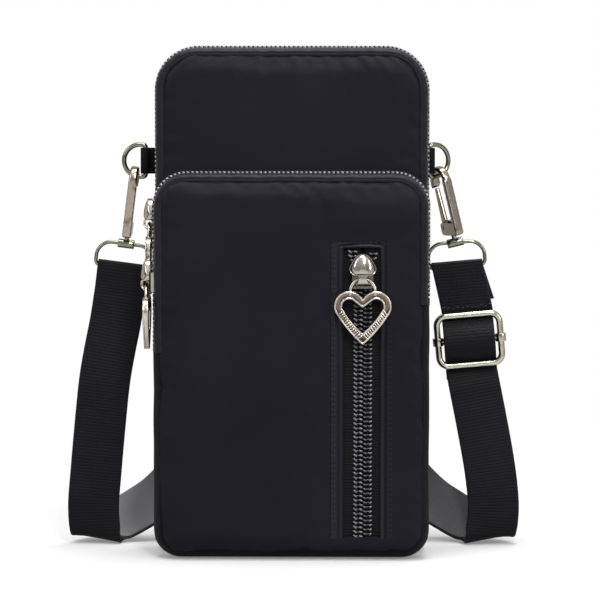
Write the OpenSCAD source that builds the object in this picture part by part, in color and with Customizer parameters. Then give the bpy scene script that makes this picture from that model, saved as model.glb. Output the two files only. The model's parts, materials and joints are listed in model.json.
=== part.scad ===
// Phone pouch: a nylon zip pouch with a front pocket, heart pulls and a clip-on webbing strap.
// X runs to the right, Y to the back and Z up. The floor is Z = 0, and the origin is the middle
// of the base of the main compartment.

/* [Pouch] */
// Width of the pouch over its zip teeth
body_w = 103; // [96:1:112]
// Height of the main compartment
body_h = 190; // [184:1:204]
// Depth of the main compartment
main_d = 20; // [19:1:26]
// Height of the front pocket
pocket_h = 144; // [136:1:150]
// Depth of the front pocket
pocket_d = 16; // [15.5:0.5:20]
// Corner radius at the top of the main compartment
top_r = 16.5; // [13:0.5:20]
// Corner radius at the top of the front pocket
pocket_r = 13; // [11:0.5:16]
// Corner radius at the base
base_r = 10.5; // [8:0.5:13]
// How far the panel seams lie inside the outline of the zip teeth
seam_inset = 3.2; // [2.8:0.1:3.8]

/* [Zips] */
// Length of one tooth and its gap
tooth_pitch = 1.68; // [1.5:0.02:2]
// Half the width of a closed zip chain
chain_half = 3; // [2.8:0.1:3.2]
// Thickness of the coil teeth
coil_t = 1.7; // [1.5:0.05:1.8]
// Height of the middle of the main zip slider at rest
main_slider_z = 128; // [115:1:140]
// Height of the middle of the front pocket slider at rest
pocket_slider_z = 106.5; // [100:0.5:110]
// Height of the middle of the front zip slider at rest
front_slider_z = 109.3; // [104:0.1:112]
// Distance of the front zip from the middle of the pouch
front_zip_x = 26.5; // [20:0.5:28]
// Height of the top of the front zip opening
front_zip_top = 116.2; // [114:0.1:120]
// Height of the bottom of the front zip opening
front_zip_foot = 8; // [7:0.5:12]

/* [Heart pulls] */
// Width of a heart pull
heart_w = 21.2; // [20:0.2:22.4]
// Height of a heart pull without its loop
heart_h = 20; // [18:0.2:22]
// Width of the band that the heart is made of
heart_band = 3; // [2.6:0.1:3.2]

/* [Strap] */
// Width of the webbing
strap_w = 19.5; // [18:0.5:20]
// Thickness of the webbing
strap_t = 1; // [0.8:0.1:1.1]
// Length of the sewn tail under the right strap ring
ring_tail = 13; // [9:1:16]
// Length of the sewn tail under the buckle bar
bar_tail = 15; // [10:1:18]
// Height of the arch that the strap makes behind the pouch
arch_h = 115; // [95:1:140]

/* [Hardware] */
// Height of the middle of the side tabs
tab_z = 146.6; // [140:0.1:152]
// Wire of the rings on the side tabs
d_wire = 1.8; // [1.6:0.1:2]
// Radius of the bow of the rings on the side tabs
d_bow_r = 6.1; // [5.8:0.1:6.6]
// Length of a snap hook without its swivel
hook_len = 27; // [25:0.5:29]
// Thickness of a snap hook
hook_t = 3.4; // [3.2:0.1:3.8]
// Wire of the strap rings
ring_wire = 1.4; // [1.2:0.1:1.5]
// Height of the strap rings over their wire
ring_h = 10.8; // [10.4:0.1:12]
// Wire of the strap buckle
buckle_wire = 2.5; // [2.2:0.1:2.6]
// Height of the strap buckle over its wire
buckle_h = 21.5; // [20.5:0.5:24]

/* [Hidden] */

// Facets of round wires and pins, and steps round a fabric corner
round_fn = 48;
corner_steps = 8;
// One overrun for every cut that passes a face
over = 1;
// Air left between pieces that slide or turn on each other
run_gap = 0.3;
// Air left between sheets that lie on each other
lay_gap = 0.1;
// Air round a pin in its bore
pin_gap = 0.05;

// Fabric thicknesses
panel_t = 1.2;
strip_t = 0.8;
base_t = 1.3;
tape_t = 0.5;
lining_t = 0.3;
foam_t = 1.8;

// Depths of the walls
y_back = main_d / 2;
y_mid = -y_back;
y_front = y_mid - pocket_d;
main_y0 = y_mid + panel_t;
main_y1 = y_back - panel_t;
pocket_y0 = y_front + panel_t;
pocket_y1 = y_mid;
half_w = body_w / 2;

// Heights at which the zips end on the left and right sides
main_end_left = 72;
main_end_right = 90;
pocket_end_left = 77;
pocket_end_right = 95;

// Section of the gussets: how the fabric swells from the seam to the crest
swell_run = 2.4;
swell_inset = 0.9;
crest_run = 4.2;
strip_run = 1.4;
strip_swell_inset = 1.2;
strip_edge_inset = 0.8;
tape_show = 1.3;
strip_edge_half = chain_half + tape_show;
tape_hidden_w = 1.1;

// Zip chain: gap between its halves, groove between teeth and the tooth as shares of the pitch;
// the second half of a coil lies half a pitch on
chain_gap_half = 0.55;
tooth_groove = 0.75;
tooth_shares = [[0.1, 1], [0.26, 0], [0.74, 0], [0.9, 1]];
mesh_share = 0.5;
coil_seat = coil_t + lay_gap;
main_y = (main_y0 + main_y1) / 2;
pocket_y = (pocket_y0 + pocket_y1) / 2;

// Front zip opening: margins of the welt that frames it
welt_left = 4.4;
welt_right = 2.2;
welt_top = 2;
welt_t = 1;
window_left = 7.5;
window_right = 6.7;
front_coil_y = y_front - lay_gap;
front_tape_y = front_coil_y + coil_seat;
front_tape_half = window_left + welt_left + tape_hidden_w;
parting_half = 4.1;
part_drop = 0.4;
part_play = 0.4;
parting_top_gap = 0.6;
parting_steps = 5;

// Inner bag of the front zip pocket
bag_half = 42;
bag_rise = 8;
bag_top = front_zip_top + bag_rise;
bag_foot = 5.6;
bag_depth = 1.9;
bag_neck_half = 6.2;

// Slider: the chain passes between its crown and its back plate
slider_up = 4.9;
slider_down = 8.2;
crown_nose_r = 2.2;
nose_share = 0.6;
crown_half = 5.2;
crown_tail_half = 3.4;
crown_corner_r = 1;
crown_h = 3.1;
crown_dome_r = 6.4;
crown_long_r = 15;
plate_t = 0.9;
back_t = 0.8;
flange_t = 0.6;
flange_reach = 1.3;
web_half = 0.25;
web_len = 3.2;
slider_half = chain_half + run_gap + flange_t;
tongue_half = 2.05;
tongue_t = 0.8;
tongue_end = 0.95;
tunnel_play = 0.75;

// Heart pull: lobes, tip, raised rims, loop and the beads along its lower sides
lobe_share = 0.472;
lobe_x = heart_w / 2 * lobe_share;
lobe_r = heart_w / 2 - lobe_x;
tip_z = heart_h - lobe_r;
heart_t = 1.8;
heart_steps = 24;
rim_t = 0.3;
rim_w = 0.6;
loop_wire = 1.3;
loop_r = 4.65;
loop_rise = 5.4;
bead_r = 0.55;
bead_count = 6;
bead_first_share = 0.16;
bead_last_share = 0.84;
axis_out = run_gap + plate_t + loop_wire / 2 + run_gap;
axis_down = 4.5;
tunnel_half = loop_wire / 2 + tunnel_play;
tunnel_top = tunnel_half - axis_down;

// Side tabs and their rings
tab_inset = 1;
tab_y = y_back - tab_inset;
tab_half = d_bow_r - d_wire / 2 - run_gap;
tab_t = 1;
tab_seat = 1.75;
tab_out = [4, 0.3];
d_bar_x = [for (out = tab_out) half_w + out];
d_leg = 2.1;
d_corner_r = 1.3;
d_bore = d_wire / 2 + lay_gap;

// Snap hook, from its bow down to the swivel
meet_angle = 22;
side_turn = [0, 30];
hook_lean = [7.4, 13.5];
ring_lean = [7.4, 5];
hook_back = 5.6;
eye_r = 3.2;
bow_t = 2;
nose_len = 3.2;
hook_base_h = 5;
hook_base_front = 5.4;
hook_round = 1.2;
bow_seat = 0.7;
bow_round = 1;
eye_z = d_wire / 2 + bow_seat - eye_r;
hook_top = eye_z + eye_r + bow_t;
hook_foot = hook_top - hook_len;
base_top = hook_foot + hook_base_h;
gate_t = 1.3;
gate_w = 1.5;
gate_tip_share = 0.8;
fork_wall = 0.6;
fork_floor = 0.9;
gate_play = 0.25;
gate_slot_t = gate_t + 2 * gate_play;
gate_pin_d = 1.2;
gate_pin_y = 3.9;
gate_pin_up = 3.1;
gate_pin_z = hook_foot + gate_pin_up;
post_d = 1.8;
post_head_d = 2.6;
post_head_t = 0.8;
neck_len = 1.3;
barrel_d = 3.4;
barrel_len = 6.2;
barrel_z = hook_foot - neck_len - barrel_d / 2;

// Strap rings and the buckle
ring_margin = 0.95;
ring_half = strap_w / 2 + ring_margin;
ring_top_r = 5.6;
ring_foot_r = 2.2;
ring_drop = ring_h - ring_wire;
ring_play = 0.5;
fold_lift = 0.75;
buckle_margin = 0.95;
buckle_half = strap_w / 2 + buckle_margin + buckle_wire / 2;
buckle_corner_r = 3.6;
buckle_bar_d = 2.2;
sleeve_d = 4;
sleeve_len = 3;
sleeve_gap = 0.1;
buckle_drop = 27.5;
buckle_tilt = 5;
buckle_shift = 4.6;
weave_gap = 0.4;
weave_lead = 2.8;
weave_slope = 0.42;
weave_share = 0.6;
tail_share = 0.5;

// Where each clasp meets its side ring, and the way down along the hook
meet_r = d_leg + d_bow_r * sin(meet_angle);
meet_at = [for (i = [0, 1])
    [d_bar_x[i] + meet_r * cos(side_turn[i]), tab_y + meet_r * sin(side_turn[i]),
        tab_z - d_bow_r * cos(meet_angle)]];
hook_down = [for (a = hook_lean)
    [cos(hook_back) * sin(a), sin(hook_back), -cos(hook_back) * cos(a)]];
barrel_at = [for (i = [0, 1]) meet_at[i] - barrel_z * hook_down[i]];

// Each strap ring hangs with its straight top in the loose bore of the barrel
ring_up = [for (a = ring_lean) [-sin(a), 0, cos(a)]];
ring_across = [for (a = ring_lean) [cos(a), 0, sin(a)]];
ring_foot_at = [for (i = [0, 1]) barrel_at[i] - ring_drop * ring_up[i]];

// Strap: half the distance between its two layers and its route
layer_half = strap_t / 2 + lay_gap / 2;
leg_top_drop = 8;
leg_spread = 1.455;
leg_curve = 1.35;
route_steps = 3;
fold_steps = 6;
span = half_w;
leg_flare = 0.09;
upper_shares = [0.33, 0.66];
knee_z = 62;
leg_mid_z = 28;
leg_low_z = 14;
floor_z = 1.6;
// Rear half of the route: shares of the half width, the arch height and the arch depth, then the
// direction across the webbing
arch_out = 13.4;
crown_share = 0.85;
rear_shares = [
    [1.43, 0.050, 0.112, [1, 0.12, 0.02]],
    [1.39, 0.034, 0.485, [0.93, 0.35, 0.1]],
    [1.31, 0.066, 0.821, [0.88, 0.33, 0.33]],
    [1.175, 0.115, 0.955, [0.82, 0.2, 0.53]],
    [1.0, 0.182, 1, [0.74, 0.2, 0.64]],
    [0.777, 0.285, 1, [0.72, 0.05, 0.69]],
    [0.563, 0.435, 0.97, [0.75, -0.3, 0.58]],
    [0.398, 0.652, 0.925, [0.62, -0.68, 0.38]],
    [0.23, 0.88, 0.866, [0.35, -0.92, 0.15]]
];

// A point part of the way from a to b
function blend(a, b, share) = a + (b - a) * share;
function unit(v) = v / norm(v);
function mirror_x(v) = [-v.x, v.y, v.z];
function mirror_point(p) = [-p.x, p.y];
function backwards(list) = [for (i = [len(list) - 1 : -1 : 0]) list[i]];

// Stations of a path are [point, outward normal] in the X Z plane
function arc_stations(centre, r, from, to, steps) = [
    for (i = [0 : steps]) let (a = blend(from, to, i / steps), n = [cos(a), sin(a)])
        [centre + r * n, n]
];

// Up the left side, over the top and down the right side
function arch_path(z) = concat(
    [[[-half_w, z[2]], [-1, 0]]],
    arc_stations([z[1] - half_w, z[0] - z[1]], z[1], 180, 90, corner_steps),
    arc_stations([half_w - z[1], z[0] - z[1]], z[1], 90, 0, corner_steps),
    [[[half_w, z[3]], [1, 0]]]
);

// Down the left side, under the base and up the right side
function cup_path(left, right) = concat(
    [[[-half_w, left], [-1, 0]]],
    arc_stations([base_r - half_w, base_r], base_r, 180, 270, corner_steps),
    arc_stations([half_w - base_r, base_r], base_r, 270, 360, corner_steps),
    [[[half_w, right], [1, 0]]]
);

// Outline of a flat panel, drawn in by an inset
function face_outline(h, r, inset) = [
    for (s = concat(
        arc_stations([base_r - half_w, base_r], base_r, 180, 270, corner_steps),
        arc_stations([half_w - base_r, base_r], base_r, 270, 360, corner_steps),
        arc_stations([half_w - r, h - r], r, 0, 90, corner_steps),
        arc_stations([r - half_w, h - r], r, 90, 180, corner_steps)
    )) s[0] - s[1] * inset
];

// Each zip round a gusset is [height, corner radius, left end, right end]
main_zip = [body_h, top_r, main_end_left, main_end_right];
pocket_zip = [pocket_h, pocket_r, pocket_end_left, pocket_end_right];

// The station that lies a given distance along a zip
function corner_len(z) = PI * z[1] / 2;
function left_len(z) = z[0] - z[1] - z[2];
function top_len(z) = 2 * (half_w - z[1]);
function right_len(z) = z[0] - z[1] - z[3];
function zip_len(z) = left_len(z) + top_len(z) + right_len(z) + 2 * corner_len(z);
function zip_at(z, s) = let (
    a = left_len(z), b = a + corner_len(z), c = b + top_len(z), d = c + corner_len(z)
)
    s < a ? [[-half_w, z[2] + s], [-1, 0]] :
    s < b ? let (t = 180 - 90 * (s - a) / corner_len(z), n = [cos(t), sin(t)])
        [[z[1] - half_w, z[0] - z[1]] + z[1] * n, n] :
    s < c ? [[z[1] - half_w + s - b, z[0]], [0, 1]] :
    s < d ? let (t = 90 - 90 * (s - c) / corner_len(z), n = [cos(t), sin(t)])
        [[half_w - z[1], z[0] - z[1]] + z[1] * n, n] :
        [[half_w, z[0] - z[1] - (s - d)], [1, 0]];

// Toothed outline of one half of a coil round a gusset; the phase lets the halves interlock
function coil_outline(z, phase) = let (count = floor(zip_len(z) / tooth_pitch) - 1) concat(
    [for (k = [0 : count - 1], c = tooth_shares)
        let (s = zip_at(z, (k + phase + c.x) * tooth_pitch)) s[0] - s[1] * c.y * tooth_groove],
    [for (s = backwards(arch_path(z))) s[0] - s[1] * coil_t]
);

// A polygon with its corners rounded by one radius
function rounded(points, r, steps = 6) = [
    for (i = [0 : len(points) - 1])
        let (
            p = points[i],
            a = unit(points[(i + len(points) - 1) % len(points)] - p),
            b = unit(points[(i + 1) % len(points)] - p),
            half = acos(a * b) / 2,
            c = p + unit(a + b) * r / sin(half),
            u = p + a * r / tan(half) - c,
            v = p + b * r / tan(half) - c,
            turn = acos(max(-1, min(1, u * v / (r * r)))),
            way = u.x * v.y - u.y * v.x > 0 ? 1 : -1
        )
        for (k = [0 : steps]) let (t = way * turn * k / steps)
            c + [u.x * cos(t) - u.y * sin(t), u.x * sin(t) + u.y * cos(t)]
];

// A solid through rings of points; every ring has the same number of points
module skin(rings) {
    m = len(rings[0]);
    n = len(rings);
    polyhedron(
        points = [for (r = rings, p = r) p],
        faces = concat(
            [[for (j = [m - 1 : -1 : 0]) j]],
            [for (i = [0 : n - 2], j = [0 : m - 1]) let (k = (j + 1) % m)
                [i * m + j, i * m + k, (i + 1) * m + k]],
            [for (i = [0 : n - 2], j = [0 : m - 1]) let (k = (j + 1) % m)
                [i * m + j, (i + 1) * m + k, (i + 1) * m + j]],
            [[for (j = [0 : m - 1]) (n - 1) * m + j]]
        )
    );
}

// A strip of fabric with a section of [y, inset] points, carried along a path of stations
module band(path, section) {
    skin([for (s = path) [for (p = section)
        [s[0].x - s[1].x * p.y, p.x, s[0].y - s[1].y * p.y]]]);
}

// A flat sheet in the X Z plane from y to y + t
module sheet(points, y, t) {
    translate([0, y + t, 0])
        rotate([90, 0, 0])
            linear_extrude(t)
                polygon(points);
}

module panel(h, r, inset, y, t) {
    sheet(face_outline(h, r, inset), y, t);
}

// Lower gusset: fabric that swells out between its two seams and stands flat on the floor
module base_gusset(y0, y1, left, right) {
    band(cup_path(left, right), [
        [y0, seam_inset],
        [y0 + swell_run, swell_inset],
        [y0 + crest_run, 0],
        [y1 - crest_run, 0],
        [y1 - swell_run, swell_inset],
        [y1, seam_inset],
        [y1, seam_inset + base_t],
        [y1 - swell_run, swell_inset + base_t],
        [y1 - crest_run, base_t],
        [y0 + crest_run, base_t],
        [y0 + swell_run, swell_inset + base_t],
        [y0, seam_inset + base_t]
    ]);
}

// Fabric strip between a panel seam and the zip; way is 1 in front of the zip and -1 behind it
module zip_strip(z, seam_y, zip_y, way) {
    edge_y = zip_y - way * strip_edge_half;
    bend_y = seam_y + way * strip_run;
    section = [
        [seam_y, seam_inset],
        [bend_y, strip_swell_inset],
        [edge_y, strip_edge_inset],
        [edge_y, strip_edge_inset + strip_t],
        [bend_y, strip_swell_inset + strip_t],
        [seam_y, seam_inset + strip_t]
    ];
    band(arch_path(z), way > 0 ? section : backwards(section));
}

module zip_tape(z, zip_y, way) {
    near = zip_y - way * chain_gap_half;
    far = zip_y - way * (strip_edge_half + tape_hidden_w);
    section = [
        [far, coil_seat],
        [near, coil_seat],
        [near, coil_seat + tape_t],
        [far, coil_seat + tape_t]
    ];
    band(arch_path(z), way > 0 ? section : backwards(section));
}

module zip_coil(z, zip_y, way) {
    w = chain_half - chain_gap_half;
    y = way > 0 ? zip_y - chain_half : zip_y + chain_gap_half;
    sheet(coil_outline(z, way > 0 ? 0 : mesh_share), y, w);
}

module rear_panel() {
    color("#29282f") panel(body_h, top_r, seam_inset, main_y1, panel_t);
}

module rear_foam() {
    color("#b9b7ae")
        panel(body_h, top_r, seam_inset + base_t + run_gap, main_y1 - lay_gap - foam_t, foam_t);
}

module divider_panel() {
    color("#292830") panel(body_h, top_r, seam_inset, y_mid, panel_t);
}

module divider_foam() {
    color("#b9b7ae")
        panel(body_h, top_r, seam_inset + base_t + run_gap, main_y0 + lay_gap, foam_t);
}

// A bag of thin cloth: two sheets joined round the sides and base, open above its side walls
module lining(h, r, y0, y1, wall_top) {
    inset = seam_inset + base_t + run_gap;
    gap = y1 - y0 - 2 * lining_t;
    difference() {
        panel(h, r, inset, y0, y1 - y0);
        panel(h, r, inset + lining_t, y0 + lining_t, gap);
        slab(-half_w, half_w, wall_top, h, y0 + lining_t, gap);
    }
}

module main_lining() {
    lining_edge = 2 * lay_gap + foam_t;
    color("#3c3c44")
        lining(body_h, top_r, main_y0 + lining_edge, main_y1 - lining_edge, main_end_left);
}

module pocket_lining() {
    color("#3c3c44")
        lining(
            pocket_h, pocket_r, front_bag_y + bag_depth + lay_gap, pocket_y1 - lay_gap,
            pocket_end_left
        );
}

module main_base_gusset() {
    color("#26252b") base_gusset(main_y0, main_y1, main_end_left, main_end_right);
}

module pocket_base_gusset() {
    color("#26252b") base_gusset(pocket_y0, pocket_y1, pocket_end_left, pocket_end_right);
}

module main_strip_front() {
    color("#46454a") zip_strip(main_zip, main_y0, main_y, 1);
}

module main_strip_rear() {
    color("#46454a") zip_strip(main_zip, main_y1, main_y, -1);
}

module main_tape_front() {
    color("#28272d") zip_tape(main_zip, main_y, 1);
}

module main_tape_rear() {
    color("#28272d") zip_tape(main_zip, main_y, -1);
}

module main_coil_front() {
    color("#5a5a60") zip_coil(main_zip, main_y, 1);
}

module main_coil_rear() {
    color("#5a5a60") zip_coil(main_zip, main_y, -1);
}

module pocket_strip_front() {
    color("#46454a") zip_strip(pocket_zip, pocket_y0, pocket_y, 1);
}

module pocket_strip_rear() {
    color("#46454a") zip_strip(pocket_zip, pocket_y1, pocket_y, -1);
}

module pocket_tape_front() {
    color("#28272d") zip_tape(pocket_zip, pocket_y, 1);
}

module pocket_tape_rear() {
    color("#28272d") zip_tape(pocket_zip, pocket_y, -1);
}

module pocket_coil_front() {
    color("#5a5a60") zip_coil(pocket_zip, pocket_y, 1);
}

module pocket_coil_rear() {
    color("#5a5a60") zip_coil(pocket_zip, pocket_y, -1);
}

// Corners of the opening that the front zip lies in
window_x0 = front_zip_x - window_left;
window_x1 = front_zip_x + window_right;

// A flat block in the X Z plane, from corner to corner, from y to y + t
module slab(x0, x1, z0, z1, y, t) {
    translate([x0, y, z0]) cube([x1 - x0, t, z1 - z0]);
}

module pocket_panel() {
    color("#242329")
        difference() {
            panel(pocket_h, pocket_r, seam_inset, y_front, panel_t);
            slab(
                window_x0 - welt_left, window_x1 + welt_right, front_zip_foot,
                front_zip_top + welt_top, y_front - over, panel_t + 2 * over
            );
        }
}

module front_zip_welt() {
    color("#242329")
        difference() {
            slab(
                window_x0 - welt_left, window_x1 + welt_right, front_zip_foot,
                front_zip_top + welt_top, y_front + lay_gap, welt_t
            );
            slab(
                window_x0, window_x1, front_zip_foot - over, front_zip_top,
                y_front + lay_gap - over, welt_t + 2 * over
            );
        }
}

module front_tape(way) {
    near = front_zip_x + way * chain_gap_half;
    far = front_zip_x + way * front_tape_half;
    color("#28272d")
        slab(
            min(near, far), max(near, far), front_zip_foot, front_zip_top + welt_top,
            front_tape_y, tape_t
        );
}

module front_tape_left() {
    front_tape(-1);
}

module front_tape_right() {
    front_tape(1);
}

// Height at which the teeth of the front zip start to part, inside the slider
part_z = front_slider_z - part_drop;
part_end_z = front_slider_z + slider_up - part_play;
parted_top = front_zip_top - parting_top_gap;

// How far the inner edge of a parted half lies from the middle of the zip
function parted(z) = let (t = max(0, min(1, (z - part_z) / (part_end_z - part_z))))
    chain_gap_half + (parting_half - chain_half / 2 - chain_gap_half) * t * t * (3 - 2 * t);

// One half of the front coil: a straight toothed run, then teeth that part above the slider
module front_coil(way) {
    w = chain_half - chain_gap_half;
    count = floor((part_z - front_zip_foot) / tooth_pitch) - 1;
    shift = way > 0 ? mesh_share : 0;
    run_top = front_zip_foot + (count + shift) * tooth_pitch;
    outline = concat(
        [for (k = [0 : count - 1], c = tooth_shares)
            [c.y * tooth_groove, front_zip_foot + (k + shift + c.x) * tooth_pitch]],
        [[coil_t, run_top], [coil_t, front_zip_foot]]
    );
    x0 = way > 0 ? chain_gap_half : -chain_half;
    teeth = floor((parted_top - run_top) / tooth_pitch);
    cord_foot = run_top - tooth_pitch;
    cord_points = [for (i = [0 : 2 * parting_steps])
        let (z = blend(cord_foot, parted_top, i / (2 * parting_steps))) [parted(z), z]];
    color("#8c8c92")
        translate([front_zip_x, front_coil_y, 0]) {
            translate([x0, 0, 0])
                rotate([90, 0, 90])
                    linear_extrude(w)
                        polygon(outline);
            translate([0, coil_t, 0])
                rotate([90, 0, 0])
                    linear_extrude(coil_t - tooth_groove)
                        polygon(concat(
                            [for (p = cord_points) [way * p.x, p.y]],
                            [for (p = backwards(cord_points)) [way * (p.x + w), p.y]]
                        ));
            for (k = [0 : teeth - 1]) {
                z = run_top + (k + tooth_shares[0].x) * tooth_pitch;
                x = parted(z + tooth_pitch / 2);
                translate([way > 0 ? x : -x - w, 0, z])
                    cube([w, coil_t, tooth_pitch * (tooth_shares[3].x - tooth_shares[0].x)]);
            }
        }
}

module front_coil_left() {
    front_coil(-1);
}

module front_coil_right() {
    front_coil(1);
}

front_bag_y = front_tape_y + tape_t + run_gap + back_t + run_gap;

// Inner bag of the front zip: two sheets joined at the edges, with a neck sewn to the tapes
module zip_pocket_bag() {
    neck_x0 = front_zip_x - bag_neck_half;
    neck_x1 = front_zip_x + bag_neck_half;
    color("#3c3c44")
        difference() {
            union() {
                slab(-bag_half, bag_half, bag_foot, bag_top, front_bag_y, bag_depth);
                slab(
                    neck_x0 - lining_t, neck_x1 + lining_t, front_zip_foot, front_zip_top,
                    front_tape_y + tape_t, front_bag_y - front_tape_y - tape_t + lining_t
                );
            }
            slab(
                lining_t - bag_half, bag_half - lining_t, bag_foot + lining_t, bag_top - lining_t,
                front_bag_y + lining_t, bag_depth - 2 * lining_t
            );
            slab(
                neck_x0, neck_x1, front_zip_foot + lining_t, front_zip_top - lining_t,
                front_tape_y, front_bag_y - front_tape_y + 2 * lining_t
            );
        }
}

// Outline of the slider crown: a rounded nose, wide shoulders and a narrow tail
crown_outline = rounded([
    [-crown_nose_r * nose_share, slider_up],
    [-crown_half, -crown_corner_r],
    [-crown_tail_half, tunnel_top],
    [crown_tail_half, tunnel_top],
    [crown_half, -crown_corner_r],
    [crown_nose_r * nose_share, slider_up]
], crown_corner_r);

// Slider facing the front: the origin is at its middle, on the outer face of the teeth
module slider() {
    y_plate = -run_gap - plate_t;
    y_back_plate = coil_seat + tape_t + run_gap;
    tongue_top = axis_out + tunnel_half + tongue_t;
    body_outline = [
        [-slider_half, -slider_down],
        [slider_half, -slider_down],
        [slider_half, 0],
        [crown_half - crown_corner_r, crown_corner_r],
        [crown_nose_r, slider_up - crown_corner_r],
        [-crown_nose_r, slider_up - crown_corner_r],
        [crown_corner_r - crown_half, crown_corner_r],
        [-slider_half, 0]
    ];
    color("#b4b0a4") {
        // Front plate with a flange down each side of the chain
        sheet(rounded(body_outline, crown_corner_r / 2, 3), y_plate, plate_t);
        for (side = [-1, 1])
            translate([
                side * (slider_half - flange_t / 2) - flange_t / 2, y_plate,
                crown_corner_r - slider_down
            ])
                cube([flange_t, plate_t + run_gap + flange_reach, slider_down - crown_corner_r]);
        // Back plate behind the tapes and the web that joins it through the parting teeth
        sheet(rounded(body_outline, crown_corner_r / 2, 3), y_back_plate, back_t);
        translate([-web_half, y_plate, slider_up - crown_corner_r - web_len])
            cube([2 * web_half, y_back_plate - y_plate + back_t, web_len]);
        // Domed crown
        intersection() {
            sheet(crown_outline, y_plate - crown_h, crown_h + plate_t / 2);
            translate([0, y_plate - crown_h + crown_dome_r, 0])
                cylinder(h = 4 * slider_down, r = crown_dome_r, center = true, $fn = round_fn);
            translate([0, y_plate - crown_h + crown_long_r, tunnel_top + crown_corner_r])
                rotate([0, 90, 0])
                    cylinder(h = 4 * crown_half, r = crown_long_r, center = true, $fn = round_fn);
        }
        // Tongue that holds the loop of the pull
        difference() {
            translate([-tongue_half, -tongue_top, -axis_down - tunnel_half - tongue_end])
                cube([
                    2 * tongue_half, tongue_top + y_plate + plate_t / 2,
                    2 * tunnel_half + 2 * tongue_end
                ]);
            translate([-tongue_half - over, -axis_out - tunnel_half, -axis_down - tunnel_half])
                cube([
                    2 * tongue_half + 2 * over, axis_out + tunnel_half + y_plate,
                    2 * tunnel_half
                ]);
        }
    }
}

// Half the angle of the heart's tip
tip_half = asin(lobe_r / norm([lobe_x, tip_z])) + atan2(lobe_x, tip_z);

// Right half of a heart drawn in by an inset, from its tip round the lobe towards the notch; the
// origin is midway between the middles of the lobes
function heart_half(inset) = let (
    r = lobe_r - inset,
    notch = sqrt(pow(lobe_r, 2) - pow(lobe_x, 2)) - inset,
    last = 180 - atan2(notch, lobe_x) - acos(min(1, r / norm([lobe_x, notch])))
) concat(
    [for (i = [0 : heart_steps - 1]) let (a = blend(-tip_half, last, i / heart_steps))
        [lobe_x + r * cos(a), r * sin(a)]],
    inset > 0 ? [[lobe_x + r * cos(last), r * sin(last)], [0, notch]] : [[0, notch]]
);

module heart_shape(inset) {
    half = heart_half(inset);
    polygon(concat(
        [[0, inset / sin(tip_half) - tip_z]],
        half,
        [for (i = [len(half) - 2 : -1 : 0]) mirror_point(half[i])]
    ));
}

// Heart pull, hanging; the origin is on its hinge axis, where its loop passes under the tongue
module heart_pull() {
    color("#9a8a7c")
        translate([0, 0, -loop_rise - loop_r]) {
            rotate([90, 0, 0]) {
                linear_extrude(heart_t, center = true)
                    difference() {
                        heart_shape(0);
                        heart_shape(heart_band);
                    }
                linear_extrude(heart_t + 2 * rim_t, center = true) {
                    difference() {
                        heart_shape(0);
                        heart_shape(rim_w);
                    }
                    difference() {
                        heart_shape(heart_band - rim_w);
                        heart_shape(heart_band);
                    }
                }
            }
            // Beads along the two lower sides of the band
            tip = [0, -tip_z + heart_band / 2 / sin(tip_half)];
            shoulder = [
                lobe_x + (lobe_r - heart_band / 2) * cos(tip_half),
                -(lobe_r - heart_band / 2) * sin(tip_half)
            ];
            for (side = [-1, 1], k = [0 : bead_count - 1]) {
                share = blend(bead_first_share, bead_last_share, k / (bead_count - 1));
                p = blend(tip, shoulder, share);
                translate([side * p.x, 0, p.y])
                    rotate([90, 0, 0])
                        cylinder(h = heart_t + 2 * rim_t, r = bead_r, center = true, $fn = round_fn / 2);
            }
            // Loop over the notch
            translate([0, 0, loop_rise])
                rotate([90, 0, 0])
                    rotate_extrude(angle = 180, $fn = round_fn)
                        translate([loop_r, 0])
                            circle(d = loop_wire, $fn = round_fn / 2);
            for (side = [-1, 1])
                translate([side * loop_r, 0, lobe_r - heart_band / 2])
                    cylinder(h = loop_rise - lobe_r + heart_band / 2, d = loop_wire, $fn = round_fn / 2);
        }
}

// Puts a slider or its pull on the front zip, or on a zip round a gusset at the left side
module on_front(z) {
    translate([front_zip_x, front_coil_y, z]) children();
}

module on_left(y, z) {
    translate([-half_w, y, z]) rotate([0, 0, -90]) children();
}

module at_hinge() {
    translate([0, -axis_out, -axis_down]) children();
}

module main_slider() {
    on_left(main_y, main_slider_z) slider();
}

module pocket_slider() {
    on_left(pocket_y, pocket_slider_z) slider();
}

module front_slider() {
    on_front(front_slider_z) slider();
}

module main_heart_pull() {
    on_left(main_y, main_slider_z) at_hinge() heart_pull();
}

module pocket_heart_pull() {
    on_left(pocket_y, pocket_slider_z) at_hinge() heart_pull();
}

module front_heart_pull() {
    on_front(front_slider_z) at_hinge() heart_pull();
}

// A straight round wire between two points of the X Z plane
module wire(p, q, d) {
    v = q - p;
    translate([p.x, 0, p.y])
        rotate([0, atan2(v.x, v.y), 0])
            cylinder(h = norm(v), d = d, $fn = round_fn / 2);
}

// A bent round wire in the X Z plane
module bend(centre, r, from, turn, d) {
    translate([centre.x, 0, centre.y])
        rotate([90, 0, 0])
            rotate([0, 0, from])
                rotate_extrude(angle = turn, $fn = round_fn)
                    translate([r, 0])
                        circle(d = d, $fn = round_fn / 2);
}

// Mirrors the right hand piece to the left; side is 0 on the left and 1 on the right
module on_side(side) {
    if (side == 0)
        mirror([1, 0, 0]) children();
    else
        children();
}

// Webbing tab folded round the straight side of its ring, sewn to the rear strip
module tab(side) {
    color("#17161b")
        on_side(side)
            translate([0, tab_y, tab_z - tab_half])
                linear_extrude(2 * tab_half)
                    difference() {
                        union() {
                            translate([d_bar_x[side], 0]) circle(r = tab_t + d_bore, $fn = round_fn);
                            translate([half_w - tab_seat, -tab_t])
                                square([d_bar_x[side] - half_w + tab_seat, 2 * tab_t]);
                        }
                        translate([d_bar_x[side], 0]) circle(r = d_bore, $fn = round_fn);
                    }
}

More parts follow.
